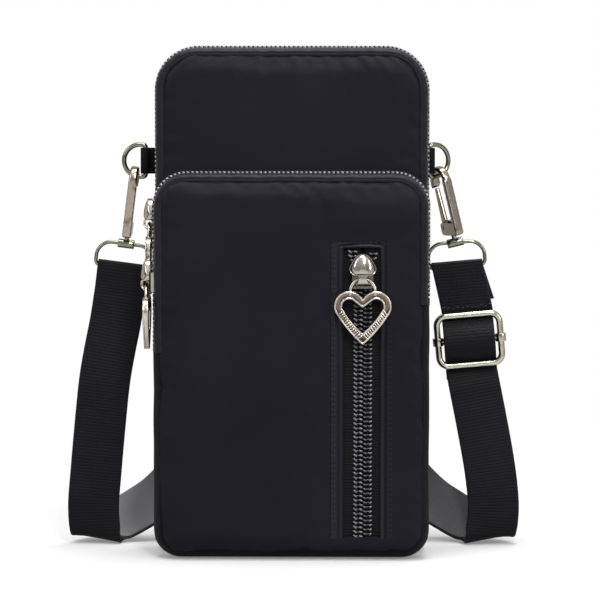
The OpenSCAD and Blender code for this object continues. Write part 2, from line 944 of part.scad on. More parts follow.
// Ring with a straight side held in the tab and a round bow outside it
module d_ring(side) {
    c = d_corner_r;
    r = d_bow_r;
    color("#b4b0a4")
        on_side(side)
            translate([d_bar_x[side], tab_y, tab_z])
                rotate([0, 0, side_turn[side]]) {
                    wire([0, c - r], [0, r - c], d_wire);
                    bend([c, r - c], c, 90, 90, d_wire);
                    bend([c, c - r], c, 180, 90, d_wire);
                    wire([c, r], [d_leg, r], d_wire);
                    wire([c, -r], [d_leg, -r], d_wire);
                    bend([d_leg, 0], r, -90, 180, d_wire);
                }
}

// Puts a piece of the clasp where it hangs on its ring; its own origin is the wire that it hangs on
module at_clasp(side) {
    on_side(side)
        translate(meet_at[side])
            rotate([hook_back, -hook_lean[side], 0])
                children();
}

// Spine, nose and base of the snap hook in its own Y Z plane
module hook_profile() {
    r = eye_r + bow_t;
    difference() {
        union() {
            translate([-r, hook_foot + hook_base_h / 2])
                square([bow_t, eye_z - hook_foot - hook_base_h / 2]);
            translate([eye_r, eye_z - nose_len]) square([bow_t, nose_len]);
            polygon(rounded([
                [-r, hook_foot],
                [hook_base_front, hook_foot],
                [hook_base_front, base_top],
                [-r, base_top]
            ], hook_round));
        }
        translate([eye_r, eye_z - nose_len]) circle(r = bow_t / 2, $fn = round_fn);
    }
}

module snap_hook(side) {
    color("#a89c8c")
        at_clasp(side)
            rotate([0, 0, side_turn[side]]) {
                difference() {
                    rotate([90, 0, 90])
                        linear_extrude(hook_t, center = true)
                            hook_profile();
                    // Bore of the swivel post
                    translate([0, 0, hook_foot - over])
                        cylinder(
                            h = hook_base_h + 2 * over, d = post_d + 2 * pin_gap, $fn = round_fn
                        );
                    // Fork and bore of the gate
                    translate([-gate_slot_t / 2, post_d / 2 + fork_wall, hook_foot + fork_floor])
                        cube([gate_slot_t, hook_base_front, hook_base_h]);
                    translate([0, gate_pin_y, gate_pin_z])
                        rotate([0, 90, 0])
                            cylinder(
                                h = hook_t + 2 * over, d = gate_pin_d + 2 * pin_gap,
                                center = true, $fn = round_fn
                            );
                }
                // Bow with rounded edges
                translate([0, 0, eye_z])
                    rotate([90, 0, 90])
                        rotate_extrude(angle = 180, $fn = round_fn)
                            translate([eye_r + bow_t / 2, 0])
                                polygon(rounded([
                                    [-bow_t / 2, -hook_t / 2],
                                    [bow_t / 2, -hook_t / 2],
                                    [bow_t / 2, hook_t / 2],
                                    [-bow_t / 2, hook_t / 2]
                                ], bow_round));
            }
}

// Spring gate that closes the mouth of the hook
module hook_gate(side) {
    gate_top = eye_z - nose_len - run_gap;
    color("#a89c8c")
        at_clasp(side)
            rotate([90, 0, 90 + side_turn[side]])
                linear_extrude(gate_t, center = true)
                    difference() {
                        union() {
                            translate([gate_pin_y, gate_pin_z]) circle(r = gate_w, $fn = round_fn);
                            polygon([
                                [gate_pin_y - gate_w, gate_pin_z],
                                [gate_pin_y + gate_w, gate_pin_z],
                                [eye_r + bow_t * gate_tip_share, gate_top],
                                [eye_r, gate_top]
                            ]);
                        }
                        translate([gate_pin_y, gate_pin_z])
                            circle(r = gate_pin_d / 2 + pin_gap, $fn = round_fn);
                    }
}

module gate_pin(side) {
    color("#8a8478")
        at_clasp(side)
            rotate([0, 0, side_turn[side]])
                translate([0, gate_pin_y, gate_pin_z])
                    rotate([0, 90, 0])
                        cylinder(h = hook_t, d = gate_pin_d, center = true, $fn = round_fn);
}

// Swivel: a riveted post above a cross barrel that holds the strap ring
module swivel(side) {
    post_len = base_top - barrel_z + lay_gap;
    color("#b4b0a4")
        at_clasp(side)
            translate([0, 0, barrel_z])
                difference() {
                    union() {
                        cylinder(h = post_len, d = post_d, $fn = round_fn);
                        translate([0, 0, post_len])
                            cylinder(h = post_head_t, d = post_head_d, $fn = round_fn);
                        rotate([0, 90, 0])
                            cylinder(h = barrel_len, d = barrel_d, center = true, $fn = round_fn);
                    }
                    rotate([0, 90, 0])
                        cylinder(
                            h = barrel_len + 2 * over, d = ring_wire + 2 * ring_play,
                            center = true, $fn = round_fn
                        );
                }
}

// Ring that carries the strap: a rounded top through the barrel and a straight foot in the fold
module strap_ring(side) {
    w = ring_half;
    a = ring_top_r;
    c = ring_foot_r;
    color("#b4b0a4")
        on_side(side)
            translate(barrel_at[side])
                rotate([0, -ring_lean[side], 0]) {
                    wire([a - w, 0], [w - a, 0], ring_wire);
                    bend([w - a, -a], a, 0, 90, ring_wire);
                    bend([a - w, -a], a, 90, 90, ring_wire);
                    wire([w, -a], [w, c - ring_drop], ring_wire);
                    wire([-w, -a], [-w, c - ring_drop], ring_wire);
                    bend([w - c, c - ring_drop], c, 270, 90, ring_wire);
                    bend([c - w, c - ring_drop], c, 180, 90, ring_wire);
                    wire([c - w, -ring_drop], [w - c, -ring_drop], ring_wire);
                }
}

// The webbing weaves behind the top wire, over the bar and behind the bottom wire of the buckle
weave_h = (buckle_h - buckle_wire) / 2;
weave_back = buckle_wire / 2 + weave_gap + strap_t / 2;
weave_front = buckle_bar_d / 2 + 3 * lay_gap + 1.5 * strap_t;

// Middle of the buckle and the directions across and up the strap there
buckle_across = [cos(buckle_tilt), 0, sin(buckle_tilt)];
buckle_up = [-sin(buckle_tilt), 0, cos(buckle_tilt)];
buckle_at = ring_foot_at[1] + [buckle_shift, -weave_back - layer_half, -buckle_drop];

module at_buckle() {
    translate(buckle_at) rotate([0, -buckle_tilt, 0]) children();
}

module buckle_frame() {
    w = buckle_half;
    h = (buckle_h - buckle_wire) / 2;
    c = buckle_corner_r;
    color("#98988e")
        at_buckle() {
            wire([c - w, h], [w - c, h], buckle_wire);
            wire([c - w, -h], [w - c, -h], buckle_wire);
            wire([w, c - h], [w, h - c], buckle_wire);
            wire([-w, c - h], [-w, h - c], buckle_wire);
            bend([w - c, h - c], c, 0, 90, buckle_wire);
            bend([c - w, h - c], c, 90, 90, buckle_wire);
            bend([c - w, c - h], c, 180, 90, buckle_wire);
            bend([w - c, c - h], c, 270, 90, buckle_wire);
        }
}

// Centre bar with a sleeve round each side wire of the frame
module buckle_bar() {
    color("#98988e")
        at_buckle()
            difference() {
                union() {
                    rotate([0, 90, 0])
                        cylinder(h = 2 * buckle_half, d = buckle_bar_d, center = true, $fn = round_fn);
                    for (x = [-buckle_half, buckle_half])
                        translate([x, 0, 0])
                            cylinder(h = sleeve_len, d = sleeve_d, center = true, $fn = round_fn);
                }
                for (x = [-buckle_half, buckle_half])
                    translate([x, 0, 0])
                        cylinder(
                            h = sleeve_len + 2 * over, d = buckle_wire + 2 * sleeve_gap,
                            center = true, $fn = round_fn
                        );
            }
}

// Smooth curve through points, with a number of steps from each point to the next
function curve_point(a, b, c, d, t) =
    0.5 * (2 * b + (c - a) * t + (2 * a - 5 * b + 4 * c - d) * t * t
        + (3 * b - a - 3 * c + d) * t * t * t);
function curve(points, steps) = let (n = len(points)) concat(
    [for (i = [0 : n - 2], k = [0 : steps - 1])
        curve_point(
            points[max(0, i - 1)], points[i], points[i + 1], points[min(n - 1, i + 2)], k / steps
        )],
    [points[n - 1]]
);

// Middle of the two layers, from under the buckle round the back to the left strap ring
strap_y = ring_foot_at[0].y;
function leg_x(z, side) = blend(
    ring_foot_at[side].x, span * leg_spread, 1 - pow(z / ring_foot_at[side].z, leg_curve)
);
front_leg = [for (z = [knee_z, (knee_z + leg_mid_z) / 2, leg_mid_z, leg_low_z])
    [[leg_x(z, 1), strap_y, z], [1, 0, leg_flare]]];
rear_leg = [for (s = rear_shares)
    let (w = unit(s[3]))
        [[s[0] * span, strap_y + s[2] * arch_out, max(floor_z + strap_w / 2 * w.z, s[1] * arch_h)], w]];
half_route = concat(front_leg, rear_leg);
crown_point = [[0, strap_y + crown_share * arch_out, arch_h], [0, -1, 0]];
upper_leg = [for (share = upper_shares)
    let (z = blend(knee_z, ring_foot_at[0].z - leg_top_drop, share))
        [[-leg_x(z, 0), strap_y, z], [-1, 0, leg_flare]]];
left_end = [mirror_x(ring_foot_at[0] - leg_top_drop * ring_up[0]), mirror_x(ring_across[0])];
route = concat(
    half_route,
    [crown_point],
    [for (s = backwards(half_route)) [mirror_x(s[0]), mirror_x(s[1])]],
    upper_leg,
    [left_end]
);
route_points = curve([for (s = route) s[0]], route_steps);
route_widths = [for (w = curve([for (s = route) s[1]], route_steps)) unit(w)];

// Direction of travel at each point of a list, and the face side of a ribbon there
function travel(p, i) = unit(p[min(len(p) - 1, i + 1)] - p[max(0, i - 1)]);
function face_side(t, w) = unit(cross(t, w));
function layer(points, widths, offset) = [for (i = [0 : len(points) - 1])
    points[i] + offset * face_side(travel(points, i), widths[i])];

// Points on a half turn over a bar, from the front to the back of it
function half_turn(centre, up, r) = [for (i = [0 : fold_steps])
    let (a = 180 * i / fold_steps) centre + r * (up * sin(a) + [0, -cos(a), 0])];

fold_r = ring_wire / 2 + lay_gap + strap_t / 2;
left_fold = half_turn(
    mirror_x(ring_foot_at[0] + (fold_lift - lay_gap) * ring_up[0]), mirror_x(ring_up[0]), fold_r
);
right_fold = half_turn(
    ring_foot_at[1] + (fold_lift - lay_gap) * ring_up[1], ring_up[1], fold_r
);

function buckle_point(y, z) = buckle_at + [0, y, 0] + z * buckle_up;

right_part = concat(
    [ring_foot_at[1] + [0, fold_r, 0] - ring_tail * ring_up[1]],
    backwards(right_fold),
    [for (p = [
        [weave_back, weave_h + weave_lead],
        [weave_back, weave_h - strap_t / 2],
        [-weave_front * weave_share, weave_h * weave_slope],
        [-weave_front, 0],
        [-weave_front * weave_share, -weave_h * weave_slope],
        [weave_back, strap_t / 2 - weave_h],
        [weave_back, -weave_h - weave_lead]
    ]) buckle_point(p.x, p.y)]
);
right_widths = concat(
    [for (i = [0 : fold_steps + 1]) ring_across[1]],
    [for (i = [0 : 6]) buckle_across]
);
bar_wrap_r = buckle_bar_d / 2 + lay_gap + strap_t / 2;
next_layer = strap_t + lay_gap;
bar_part = concat(
    [buckle_point(weave_back + next_layer, -weave_h - weave_lead)],
    [buckle_point(weave_back + next_layer, -weave_h + strap_t)],
    [buckle_point(-bar_wrap_r * tail_share, -weave_h * weave_slope)],
    half_turn(buckle_at, buckle_up, bar_wrap_r),
    [
        buckle_point(bar_wrap_r + lay_gap, -weave_h * weave_slope),
        buckle_point(weave_back + 2 * next_layer, -weave_h),
        buckle_point(weave_back + 2 * next_layer, -bar_tail)
    ]
);

// Whole centre line of the webbing: right fold, buckle, outer layer, left fold, inner layer, bar
web_points = concat(
    curve(right_part, 2),
    layer(route_points, route_widths, layer_half),
    left_fold,
    backwards(layer(route_points, route_widths, -layer_half)),
    curve(bar_part, 2)
);
web_widths = concat(
    curve(right_widths, 2),
    route_widths,
    [for (p = left_fold) mirror_x(ring_across[0])],
    backwards(route_widths),
    [for (i = [0 : 2 * (len(bar_part) - 1)]) buckle_across]
);

// One length of webbing, as a ribbon that keeps its width and thickness along its whole route
module strap_webbing() {
    color("#1c1b20")
        skin([for (i = [0 : len(web_points) - 1])
            let (
                t = travel(web_points, i),
                a = face_side(t, web_widths[i]) * strap_t / 2,
                w = unit(cross(a, t)) * strap_w / 2
            )
            [
                web_points[i] + w + a,
                web_points[i] + w - a,
                web_points[i] - w - a,
                web_points[i] - w + a
            ]]);
}

module tab_left() {
    tab(0);
}

module tab_right() {
    tab(1);
}

module d_ring_left() {
    d_ring(0);
}

module d_ring_right() {
    d_ring(1);
}

module snap_hook_left() {
    snap_hook(0);
}

module snap_hook_right() {
    snap_hook(1);
}

module hook_gate_left() {
    hook_gate(0);
}

module hook_gate_right() {
    hook_gate(1);
}

module gate_pin_left() {
    gate_pin(0);
}

module gate_pin_right() {
    gate_pin(1);
}

module swivel_left() {
    swivel(0);
}

module swivel_right() {
    swivel(1);
}

module strap_ring_left() {
    strap_ring(0);
}

module strap_ring_right() {
    strap_ring(1);
}

rear_panel();
rear_foam();
divider_panel();
divider_foam();
main_lining();
main_base_gusset();
main_strip_front();
main_strip_rear();
main_tape_front();
main_tape_rear();
main_coil_front();
main_coil_rear();
pocket_panel();
pocket_lining();
pocket_base_gusset();
pocket_strip_front();
pocket_strip_rear();
pocket_tape_front();
pocket_tape_rear();
pocket_coil_front();
pocket_coil_rear();
front_zip_welt();
front_tape_left();
front_tape_right();
front_coil_left();
front_coil_right();
zip_pocket_bag();
main_slider();
pocket_slider();
front_slider();
main_heart_pull();
pocket_heart_pull();
front_heart_pull();
tab_left();
tab_right();
d_ring_left();
d_ring_right();
snap_hook_left();
snap_hook_right();
hook_gate_left();
hook_gate_right();
gate_pin_left();
gate_pin_right();
swivel_left();
swivel_right();
strap_ring_left();
strap_ring_right();
strap_webbing();
buckle_frame();
buckle_bar();
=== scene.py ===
"""Looks of a nylon phone pouch: fabric body, coil zips, heart pulls, clasps and webbing strap."""

from __future__ import annotations

import json
import logging
import math
from dataclasses import dataclass
from enum import Enum
from functools import cache
from typing import Any, Callable, Sequence

import bmesh
import bpy
import numpy as np
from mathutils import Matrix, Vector, noise


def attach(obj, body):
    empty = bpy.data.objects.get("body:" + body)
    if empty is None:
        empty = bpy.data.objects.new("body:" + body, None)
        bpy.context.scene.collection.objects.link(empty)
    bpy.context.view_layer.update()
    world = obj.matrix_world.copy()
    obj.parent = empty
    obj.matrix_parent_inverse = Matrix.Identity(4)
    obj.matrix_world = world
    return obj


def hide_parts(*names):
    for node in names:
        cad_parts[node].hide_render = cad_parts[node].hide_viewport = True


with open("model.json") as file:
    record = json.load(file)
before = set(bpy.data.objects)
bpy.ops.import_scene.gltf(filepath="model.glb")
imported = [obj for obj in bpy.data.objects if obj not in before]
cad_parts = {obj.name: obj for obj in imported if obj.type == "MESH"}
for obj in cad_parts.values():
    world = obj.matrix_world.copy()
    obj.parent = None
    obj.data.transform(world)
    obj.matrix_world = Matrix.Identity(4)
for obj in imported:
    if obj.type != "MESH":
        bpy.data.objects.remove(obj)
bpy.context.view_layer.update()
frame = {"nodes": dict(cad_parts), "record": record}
BODY_OF = {n: b for b, names in frame["record"]["behaviour"]["bodies"].items() for n in names}

Piece = bpy.types.Object
Mesh = bpy.types.Mesh
Point = tuple[float, float, float]
Flat = tuple[float, float]
Colour = tuple[float, float, float]

MM = 0.001
FLOAT = "NodeSocketFloat"
VECTOR = "NodeSocketVector"
log = logging.getLogger("pouch")
logging.basicConfig(level=logging.INFO, format="%(message)s")


class Side(Enum):
    """The two sides of the pouch, as the photograph shows them."""

    LEFT = "left"
    RIGHT = "right"

    @property
    def sign(self) -> float:
        """The sign of X on this side."""
        return -1.0 if self is Side.LEFT else 1.0


def vec(*values: float) -> np.ndarray:
    """A vector of floats."""
    return np.array(values, float)


def unit(v: np.ndarray) -> np.ndarray:
    """The vector with length one."""
    return v / max(float(np.linalg.norm(v)), 1e-12)


def blend(a: Any, b: Any, share: float) -> Any:
    """The value that lies the given share of the way from a to b."""
    return a + (b - a) * share


def smooth(t: float) -> float:
    """A soft step from 0 to 1."""
    t = max(0.0, min(1.0, t))
    return t * t * (3 - 2 * t)


def ripple(x: float, y: float, z: float, size: float) -> float:
    """Soft noise from -1 to 1 with lumps of the given size, in millimetres."""
    return noise.noise(Vector((x / size, y / size, z / size)))


class Graph:
    """A node tree with short calls for adding and joining its nodes."""

    def __init__(self, tree: Any) -> None:
        """Wraps a tree."""
        self.tree = tree

    def add(self, kind: str, inputs: dict | None = None, **settings: Any) -> Any:
        """Adds a node.

        Args:
            kind: The node's type.
            inputs: A value or a socket for each input, by name or place.
            settings: The node's own settings.

        Returns:
            The node.
        """
        node = self.tree.nodes.new(kind)
        for name, value in settings.items():
            setattr(node, name, value)
        self.feed(node, inputs or {})
        return node

    def feed(self, node: Any, inputs: dict) -> None:
        """Sets a node's inputs.

        Args:
            node: The node.
            inputs: A value or a socket for each input, by name or place.
        """
        for name, value in inputs.items():
            socket = node.inputs[name]
            if isinstance(value, bpy.types.NodeSocket):
                self.tree.links.new(value, socket)
            else:
                socket.default_value = value

    def math(self, operation: str, a: Any, b: Any = 0.0, c: Any = 0.0) -> Any:
        """Adds a Math node for up to three values or sockets and returns its output."""
        return self.add("ShaderNodeMath", {0: a, 1: b, 2: c}, operation=operation).outputs[0]

    def ramp(self, fac: Any, stops: Sequence[tuple[float, Colour]]) -> Any:
        """Adds a Color Ramp.

        Args:
            fac: The socket that it reads.
            stops: Position and colour of each stop.

        Returns:
            Its colour socket.
        """
        node = self.add("ShaderNodeValToRGB", {"Fac": fac})
        items = node.color_ramp.elements
        while len(items) < len(stops):
            items.new(0.5)
        for item, (place, colour) in zip(items, stops):
            item.position = place
            item.color = (*colour, 1)
        return node.outputs["Color"]

    def tinted(self, fac: Any, colour: Colour, low: Flat, high: Flat) -> Any:
        """Adds a ramp between two shades of a colour.

        Args:
            fac: The socket that it reads.
            colour: The colour.
            low: Where the ramp starts, and the share of the colour there.
            high: Where it ends, and the share there.

        Returns:
            Its colour socket.
        """
        return self.ramp(fac, [(low[0], darker(colour, low[1])), (high[0], darker(colour, high[1]))])

    def noise(self, place: Any, scale: Any, detail: float, **more: float) -> Any:
        """Adds a Noise Texture.

        Args:
            place: The socket of its coordinates.
            scale: Lumps per metre.
            detail: How many finer layers it has.
            more: Its other inputs.

        Returns:
            Its value socket.
        """
        inputs = {"Vector": place, "Scale": scale, "Detail": detail, **more}
        return self.add("ShaderNodeTexNoise", inputs).outputs["Fac"]

    def spread(self, value: Any, low: float, high: float, start: float = 0.0, end: float = 1.0) -> Any:
        """Adds a Map Range node.

        Args:
            value: The socket that it reads.
            low: What it gives at the start of the range.
            high: What it gives at the end.
            start: The value at which the range starts.
            end: The value at which it ends.

        Returns:
            Its output socket.
        """
        inputs = {"Value": value, "From Min": start, "From Max": end, "To Min": low, "To Max": high}
        return self.add("ShaderNodeMapRange", inputs).outputs[0]

    def bump(self, strength: float, distance: float, height: Any, **more: Any) -> Any:
        """Adds a Bump node of a depth in metres and returns its normal."""
        inputs = {"Strength": strength, "Distance": distance, "Height": height, **more}
        return self.add("ShaderNodeBump", inputs).outputs[0]

    def mix(self, fac: Any, a: Any, b: Any) -> Any:
        """Adds a mix of two colours and returns its output."""
        return self.add("ShaderNodeMixRGB", {"Fac": fac, "Color1": a, "Color2": b}).outputs[0]

    def mix_shaders(self, fac: Any, a: Any, b: Any) -> Any:
        """Adds a mix of two shaders and returns its output."""
        return self.add("ShaderNodeMixShader", {0: fac, 1: a, 2: b}).outputs[0]

    def mask(self, key: str) -> Any:
        """Reads a value that the mesh carries."""
        return self.add("ShaderNodeAttribute", attribute_name=key).outputs["Fac"]

    def coordinates(self, kind: str) -> Any:
        """Reads a Texture Coordinate."""
        return self.add("ShaderNodeTexCoord").outputs[kind]

    def effect(self, group: Any, inputs: dict) -> Any:
        """Places a shared shader group and returns its outputs."""
        return self.add("ShaderNodeGroup", inputs, node_tree=group).outputs


def shader_group(name: str, inputs: dict[str, tuple], outputs: Sequence[str]) -> tuple[Any, Graph, Any, Any]:
    """Makes an empty shader node group.

    Args:
        name: The group's name.
        inputs: Socket type and start value of each input.
        outputs: The names of its outputs, which are plain values.

    Returns:
        The group, its graph, the sockets that come in and the node that takes what goes out.
    """
    tree = bpy.data.node_groups.new(name, "ShaderNodeTree")
    for key, (kind, value) in inputs.items():
        socket = tree.interface.new_socket(key, in_out="INPUT", socket_type=kind)
        if value is not None:
            socket.default_value = value
    for key in outputs:
        tree.interface.new_socket(key, in_out="OUTPUT", socket_type=FLOAT)
    graph = Graph(tree)
    return tree, graph, graph.add("NodeGroupInput").outputs, graph.add("NodeGroupOutput")


class Effects:
    """Shader groups that several finishes share, each made once."""

    @staticmethod
    @cache
    def plain_weave() -> Any:
        """Crossed threads on any face.

        Returns:
            The group, with outputs Height and Tint.
        """
        inputs = {"Coordinates": (VECTOR, None), "Threads per metre": (FLOAT, 2500.0)}
        tree, g, start, end = shader_group("plain_weave", inputs, ("Height", "Tint"))
        place = start["Coordinates"]
        split = g.add("ShaderNodeSeparateXYZ", {0: place}).outputs
        turns = g.math("MULTIPLY", start["Threads per metre"], 2 * math.pi)
        warp = g.math("ADD", split["X"], g.math("MULTIPLY", split["Y"], 0.7))
        weft = g.math("ADD", split["Z"], g.math("MULTIPLY", split["Y"], 0.45))
        a = g.math("SINE", g.math("MULTIPLY", warp, turns))
        b = g.math("SINE", g.math("MULTIPLY", weft, turns))
        slub = g.math("MULTIPLY", g.noise(place, 900.0, 2.0), 0.6)
        height = g.math("ADD", g.math("MULTIPLY", a, b), slub)
        g.feed(end, {"Height": height, "Tint": g.noise(place, 24.0, 5.0)})
        return tree

    @staticmethod
    @cache
    def ribs() -> Any:
        """Ribs across webbing or tape, from its own UV map in metres.

        Returns:
            The group, with outputs Height and Tint.
        """
        sizes = {"Along": 0.0, "Across": 0.0, "Rib": 0.001, "Thread": 0.0006}
        inputs = {key: (FLOAT, value) for key, value in sizes.items()}
        tree, g, start, end = shader_group("ribs", inputs, ("Height", "Tint"))
        along = g.math("DIVIDE", start["Along"], start["Rib"])
        across = g.math("DIVIDE", start["Across"], start["Thread"])
        a = g.math("ABSOLUTE", g.math("SINE", g.math("MULTIPLY", along, math.pi)))
        b = g.math("ABSOLUTE", g.math("SINE", g.math("MULTIPLY", across, math.pi)))
        height = g.math("MULTIPLY", g.math("POWER", a, 0.8), g.math("MULTIPLY_ADD", b, 0.3, 0.7))
        place = g.add("ShaderNodeCombineXYZ", {0: start["Along"], 1: start["Across"]}).outputs[0]
        cloud = g.math("MULTIPLY", g.noise(place, 160.0, 4.0), 0.45)
        # Painted highlight: the tint rises with rib height, plus a random cloud.
        g.feed(end, {"Height": height, "Tint": g.math("MULTIPLY_ADD", height, 0.55, cloud)})
        return tree

    @staticmethod
    @cache
    def handling() -> Any:
        """Smudges, fine scratches and dull spots of handled metal.

        Returns:
            The group, with outputs Mask and Height.
        """
        inputs = {"Coordinates": (VECTOR, None), "Scale": (FLOAT, 300.0)}
        tree, g, start, end = shader_group("handling", inputs, ("Mask", "Height"))
        place = start["Coordinates"]
        smudge = g.noise(place, start["Scale"], 6.0, Roughness=0.6)
        stretch = {"Vector": place, "Scale": (9.0, 9.0, 1.0), "Rotation": (0.4, 0.3, 0.0)}
        scratch = g.noise(g.add("ShaderNodeMapping", stretch).outputs[0], 420.0, 3.0)
        height = g.math("MULTIPLY_ADD", scratch, 0.5, g.math("MULTIPLY", smudge, 0.5))
        g.feed(end, {"Mask": smudge, "Height": height})
        return tree


def principled(name: str, fixed: dict[str, float]) -> tuple[bpy.types.Material, Graph, Any]:
    """Starts a material with a Principled BSDF.

    Args:
        name: The material's name.
        fixed: Inputs that are the same all over the surface.

    Returns:
        The material, its graph and the shader node.
    """
    material = bpy.data.materials.new(name)
    material.use_nodes = True
    graph = Graph(material.node_tree)
    graph.tree.nodes.clear()
    shader = graph.add("ShaderNodeBsdfPrincipled", fixed)
    graph.add("ShaderNodeOutputMaterial", {0: shader.outputs[0]})
    return material, graph, shader


def darker(colour: Colour, share: float) -> Colour:
    """The colour times a share."""
    return tuple(c * share for c in colour)


@dataclass(frozen=True)
class Nylon:
    """Coated nylon cloth with a fine weave."""

    name: str
    colour: Colour
    roughness: float = 0.5
    specular: float = 0.16
    threads: float = 2600.0
    bump: float = 0.12
    crease: float = 0.3
    creases_per_metre: float = 110.0
    weave_depth: float = 0.0001
    crease_depth: float = 0.0006
    sheen: float = 0.03

    def material(self) -> bpy.types.Material:
        """Makes the material.

        Returns:
            The material.
        """
        fixed = {"Specular IOR Level": self.specular, "Sheen Weight": self.sheen, "Sheen Roughness": 0.4}
        material, g, shader = principled(self.name, fixed)
        place = g.coordinates("Object")
        weave = g.effect(Effects.plain_weave(), {"Coordinates": place, "Threads per metre": self.threads})
        fine = g.bump(self.bump, self.weave_depth, weave["Height"])
        crease = g.noise(place, self.creases_per_metre, 4.0, Distortion=0.6)
        g.feed(shader, {
            "Base Color": g.tinted(weave["Tint"], self.colour, (0.3, 0.82), (0.7, 1.18)),
            "Roughness": g.spread(weave["Tint"], self.roughness - 0.06, self.roughness + 0.08),
            "Normal": g.bump(self.crease, self.crease_depth, crease, Normal=fine),
        })
        return material


@dataclass(frozen=True)
class Webbing:
    """Ribbed woven webbing or zip tape that follows its own UV map, with a painted sheen where the mesh
    carries a share of it.
    """

    name: str
    colour: Colour
    # Painted sheen: the pale grey that stands in for light on the webbing's inner face.
    inner: Colour = (0.02, 0.02, 0.022)
    rib: float = 0.0015
    thread: float = 0.0007
    roughness: float = 0.55
    specular: float = 0.2
    bump: float = 0.7
    depth: float = 0.0003
    inner_flatness: float = 0.85
    sheen: float = 0.05

    def material(self) -> bpy.types.Material:
        """Makes the material.

        Returns:
            The material.
        """
        fixed = {
            "Roughness": self.roughness, "Specular IOR Level": self.specular, "Sheen Weight": self.sheen,
        }
        material, g, shader = principled(self.name, fixed)
        uv = g.add("ShaderNodeUVMap", uv_map="cloth").outputs[0]
        split = g.add("ShaderNodeSeparateXYZ", {0: uv}).outputs
        weave = {"Along": split["X"], "Across": split["Y"], "Rib": self.rib, "Thread": self.thread}
        ribs = g.effect(Effects.ribs(), weave)
        # Painted highlight: the rib crests are lighter, over a random cloud of tone.
        colour = g.tinted(ribs["Tint"], self.colour, (0.3, 0.7), (0.75, 1.3))
        # Painted sheen colour, mixed in by the share that the strap carries.
        painted_sheen = g.tinted(ribs["Tint"], self.inner, (0.2, 0.95), (0.8, 1.05))
        face = g.mask("painted_sheen_share")
        height = g.math("MULTIPLY", ribs["Height"], g.math("MULTIPLY_ADD", face, -self.inner_flatness, 1.0))
        g.feed(shader, {
            "Base Color": g.mix(face, colour, painted_sheen),
            "Normal": g.bump(self.bump, self.depth, height),
        })
        return material


@dataclass(frozen=True)
class Metal:
    """Polished plated casting or wire, with painted shade on the sides that face neither front nor back."""

    name: str
    colour: Colour
    roughness: float = 0.16
    tarnish: Colour = (0.14, 0.12, 0.095)
    recess: Colour = (0.1, 0.075, 0.06)
    # Painted shade: the colour of the sides that face neither front nor back, standing in for dark
    # reflections.
    painted_flank_shade: Colour = (0.16, 0.14, 0.1)
    flank_shade_share: float = 0.8
    scale: float = 190.0

    def material(self) -> bpy.types.Material:
        """Makes the material.

        Returns:
            The material.
        """
        material, g, shader = principled(self.name, {"Metallic": 1.0})
        wear_and_glint = g.effect(Effects.handling(), {"Coordinates": g.coordinates("Object"), "Scale": self.scale})
        stops = [(0.28, self.tarnish), (0.46, self.colour), (1.0, darker(self.colour, 1.08))]
        # Painted shade: the sides turned away from front and back darken towards the flank colour.
        facing = g.add("ShaderNodeSeparateXYZ", {0: g.coordinates("Normal")}).outputs["Y"]
        painted_flank_shade = g.spread(g.math("ABSOLUTE", facing), self.flank_shade_share, 0.0, 0.45, 0.95)
        plated = g.mix(painted_flank_shade, g.ramp(wear_and_glint["Mask"], stops), (*self.painted_flank_shade, 1))
        g.feed(shader, {
            "Base Color": g.mix(g.mask("recess"), plated, (*self.recess, 1)),
            "Roughness": g.spread(wear_and_glint["Mask"], self.roughness + 0.08, max(0.04, self.roughness - 0.06)),
            "Normal": g.bump(0.08, 0.00005, wear_and_glint["Height"]),
        })
        return material


@dataclass(frozen=True)
class Filament:
    """Glossy nylon monofilament of the zip coils, or sewing thread, with a painted highlight colour for the
    teeth's glints.
    """

    name: str
    colour: Colour
    # Painted highlight: the pale colour of the glints on the teeth's heads and turns.
    tip: Colour = (0.3, 0.3, 0.33)
    roughness: float = 0.25
    specular: float = 0.5
    scale: float = 500.0

    def material(self) -> bpy.types.Material:
        """Makes the material.

        Returns:
            The material.
        """
        material, g, shader = principled(self.name, {"Specular IOR Level": self.specular})
        grain = g.noise(g.coordinates("Object"), self.scale, 3.0)
        colour = g.tinted(grain, self.colour, (0.3, 0.7), (0.7, 1.3))
        # Painted highlight colour, mixed in by the tip mask that the teeth carry.
        wear_and_glint = g.tinted(grain, self.tip, (0.3, 0.7), (0.7, 1.25))
        g.feed(shader, {
            "Base Color": g.mix(g.mask("tip"), colour, wear_and_glint),
            "Roughness": g.spread(grain, self.roughness - 0.08, self.roughness + 0.14),
            "Normal": g.bump(0.1, 0.00005, grain),
        })
        return material


Finish = Nylon | Webbing | Metal | Filament


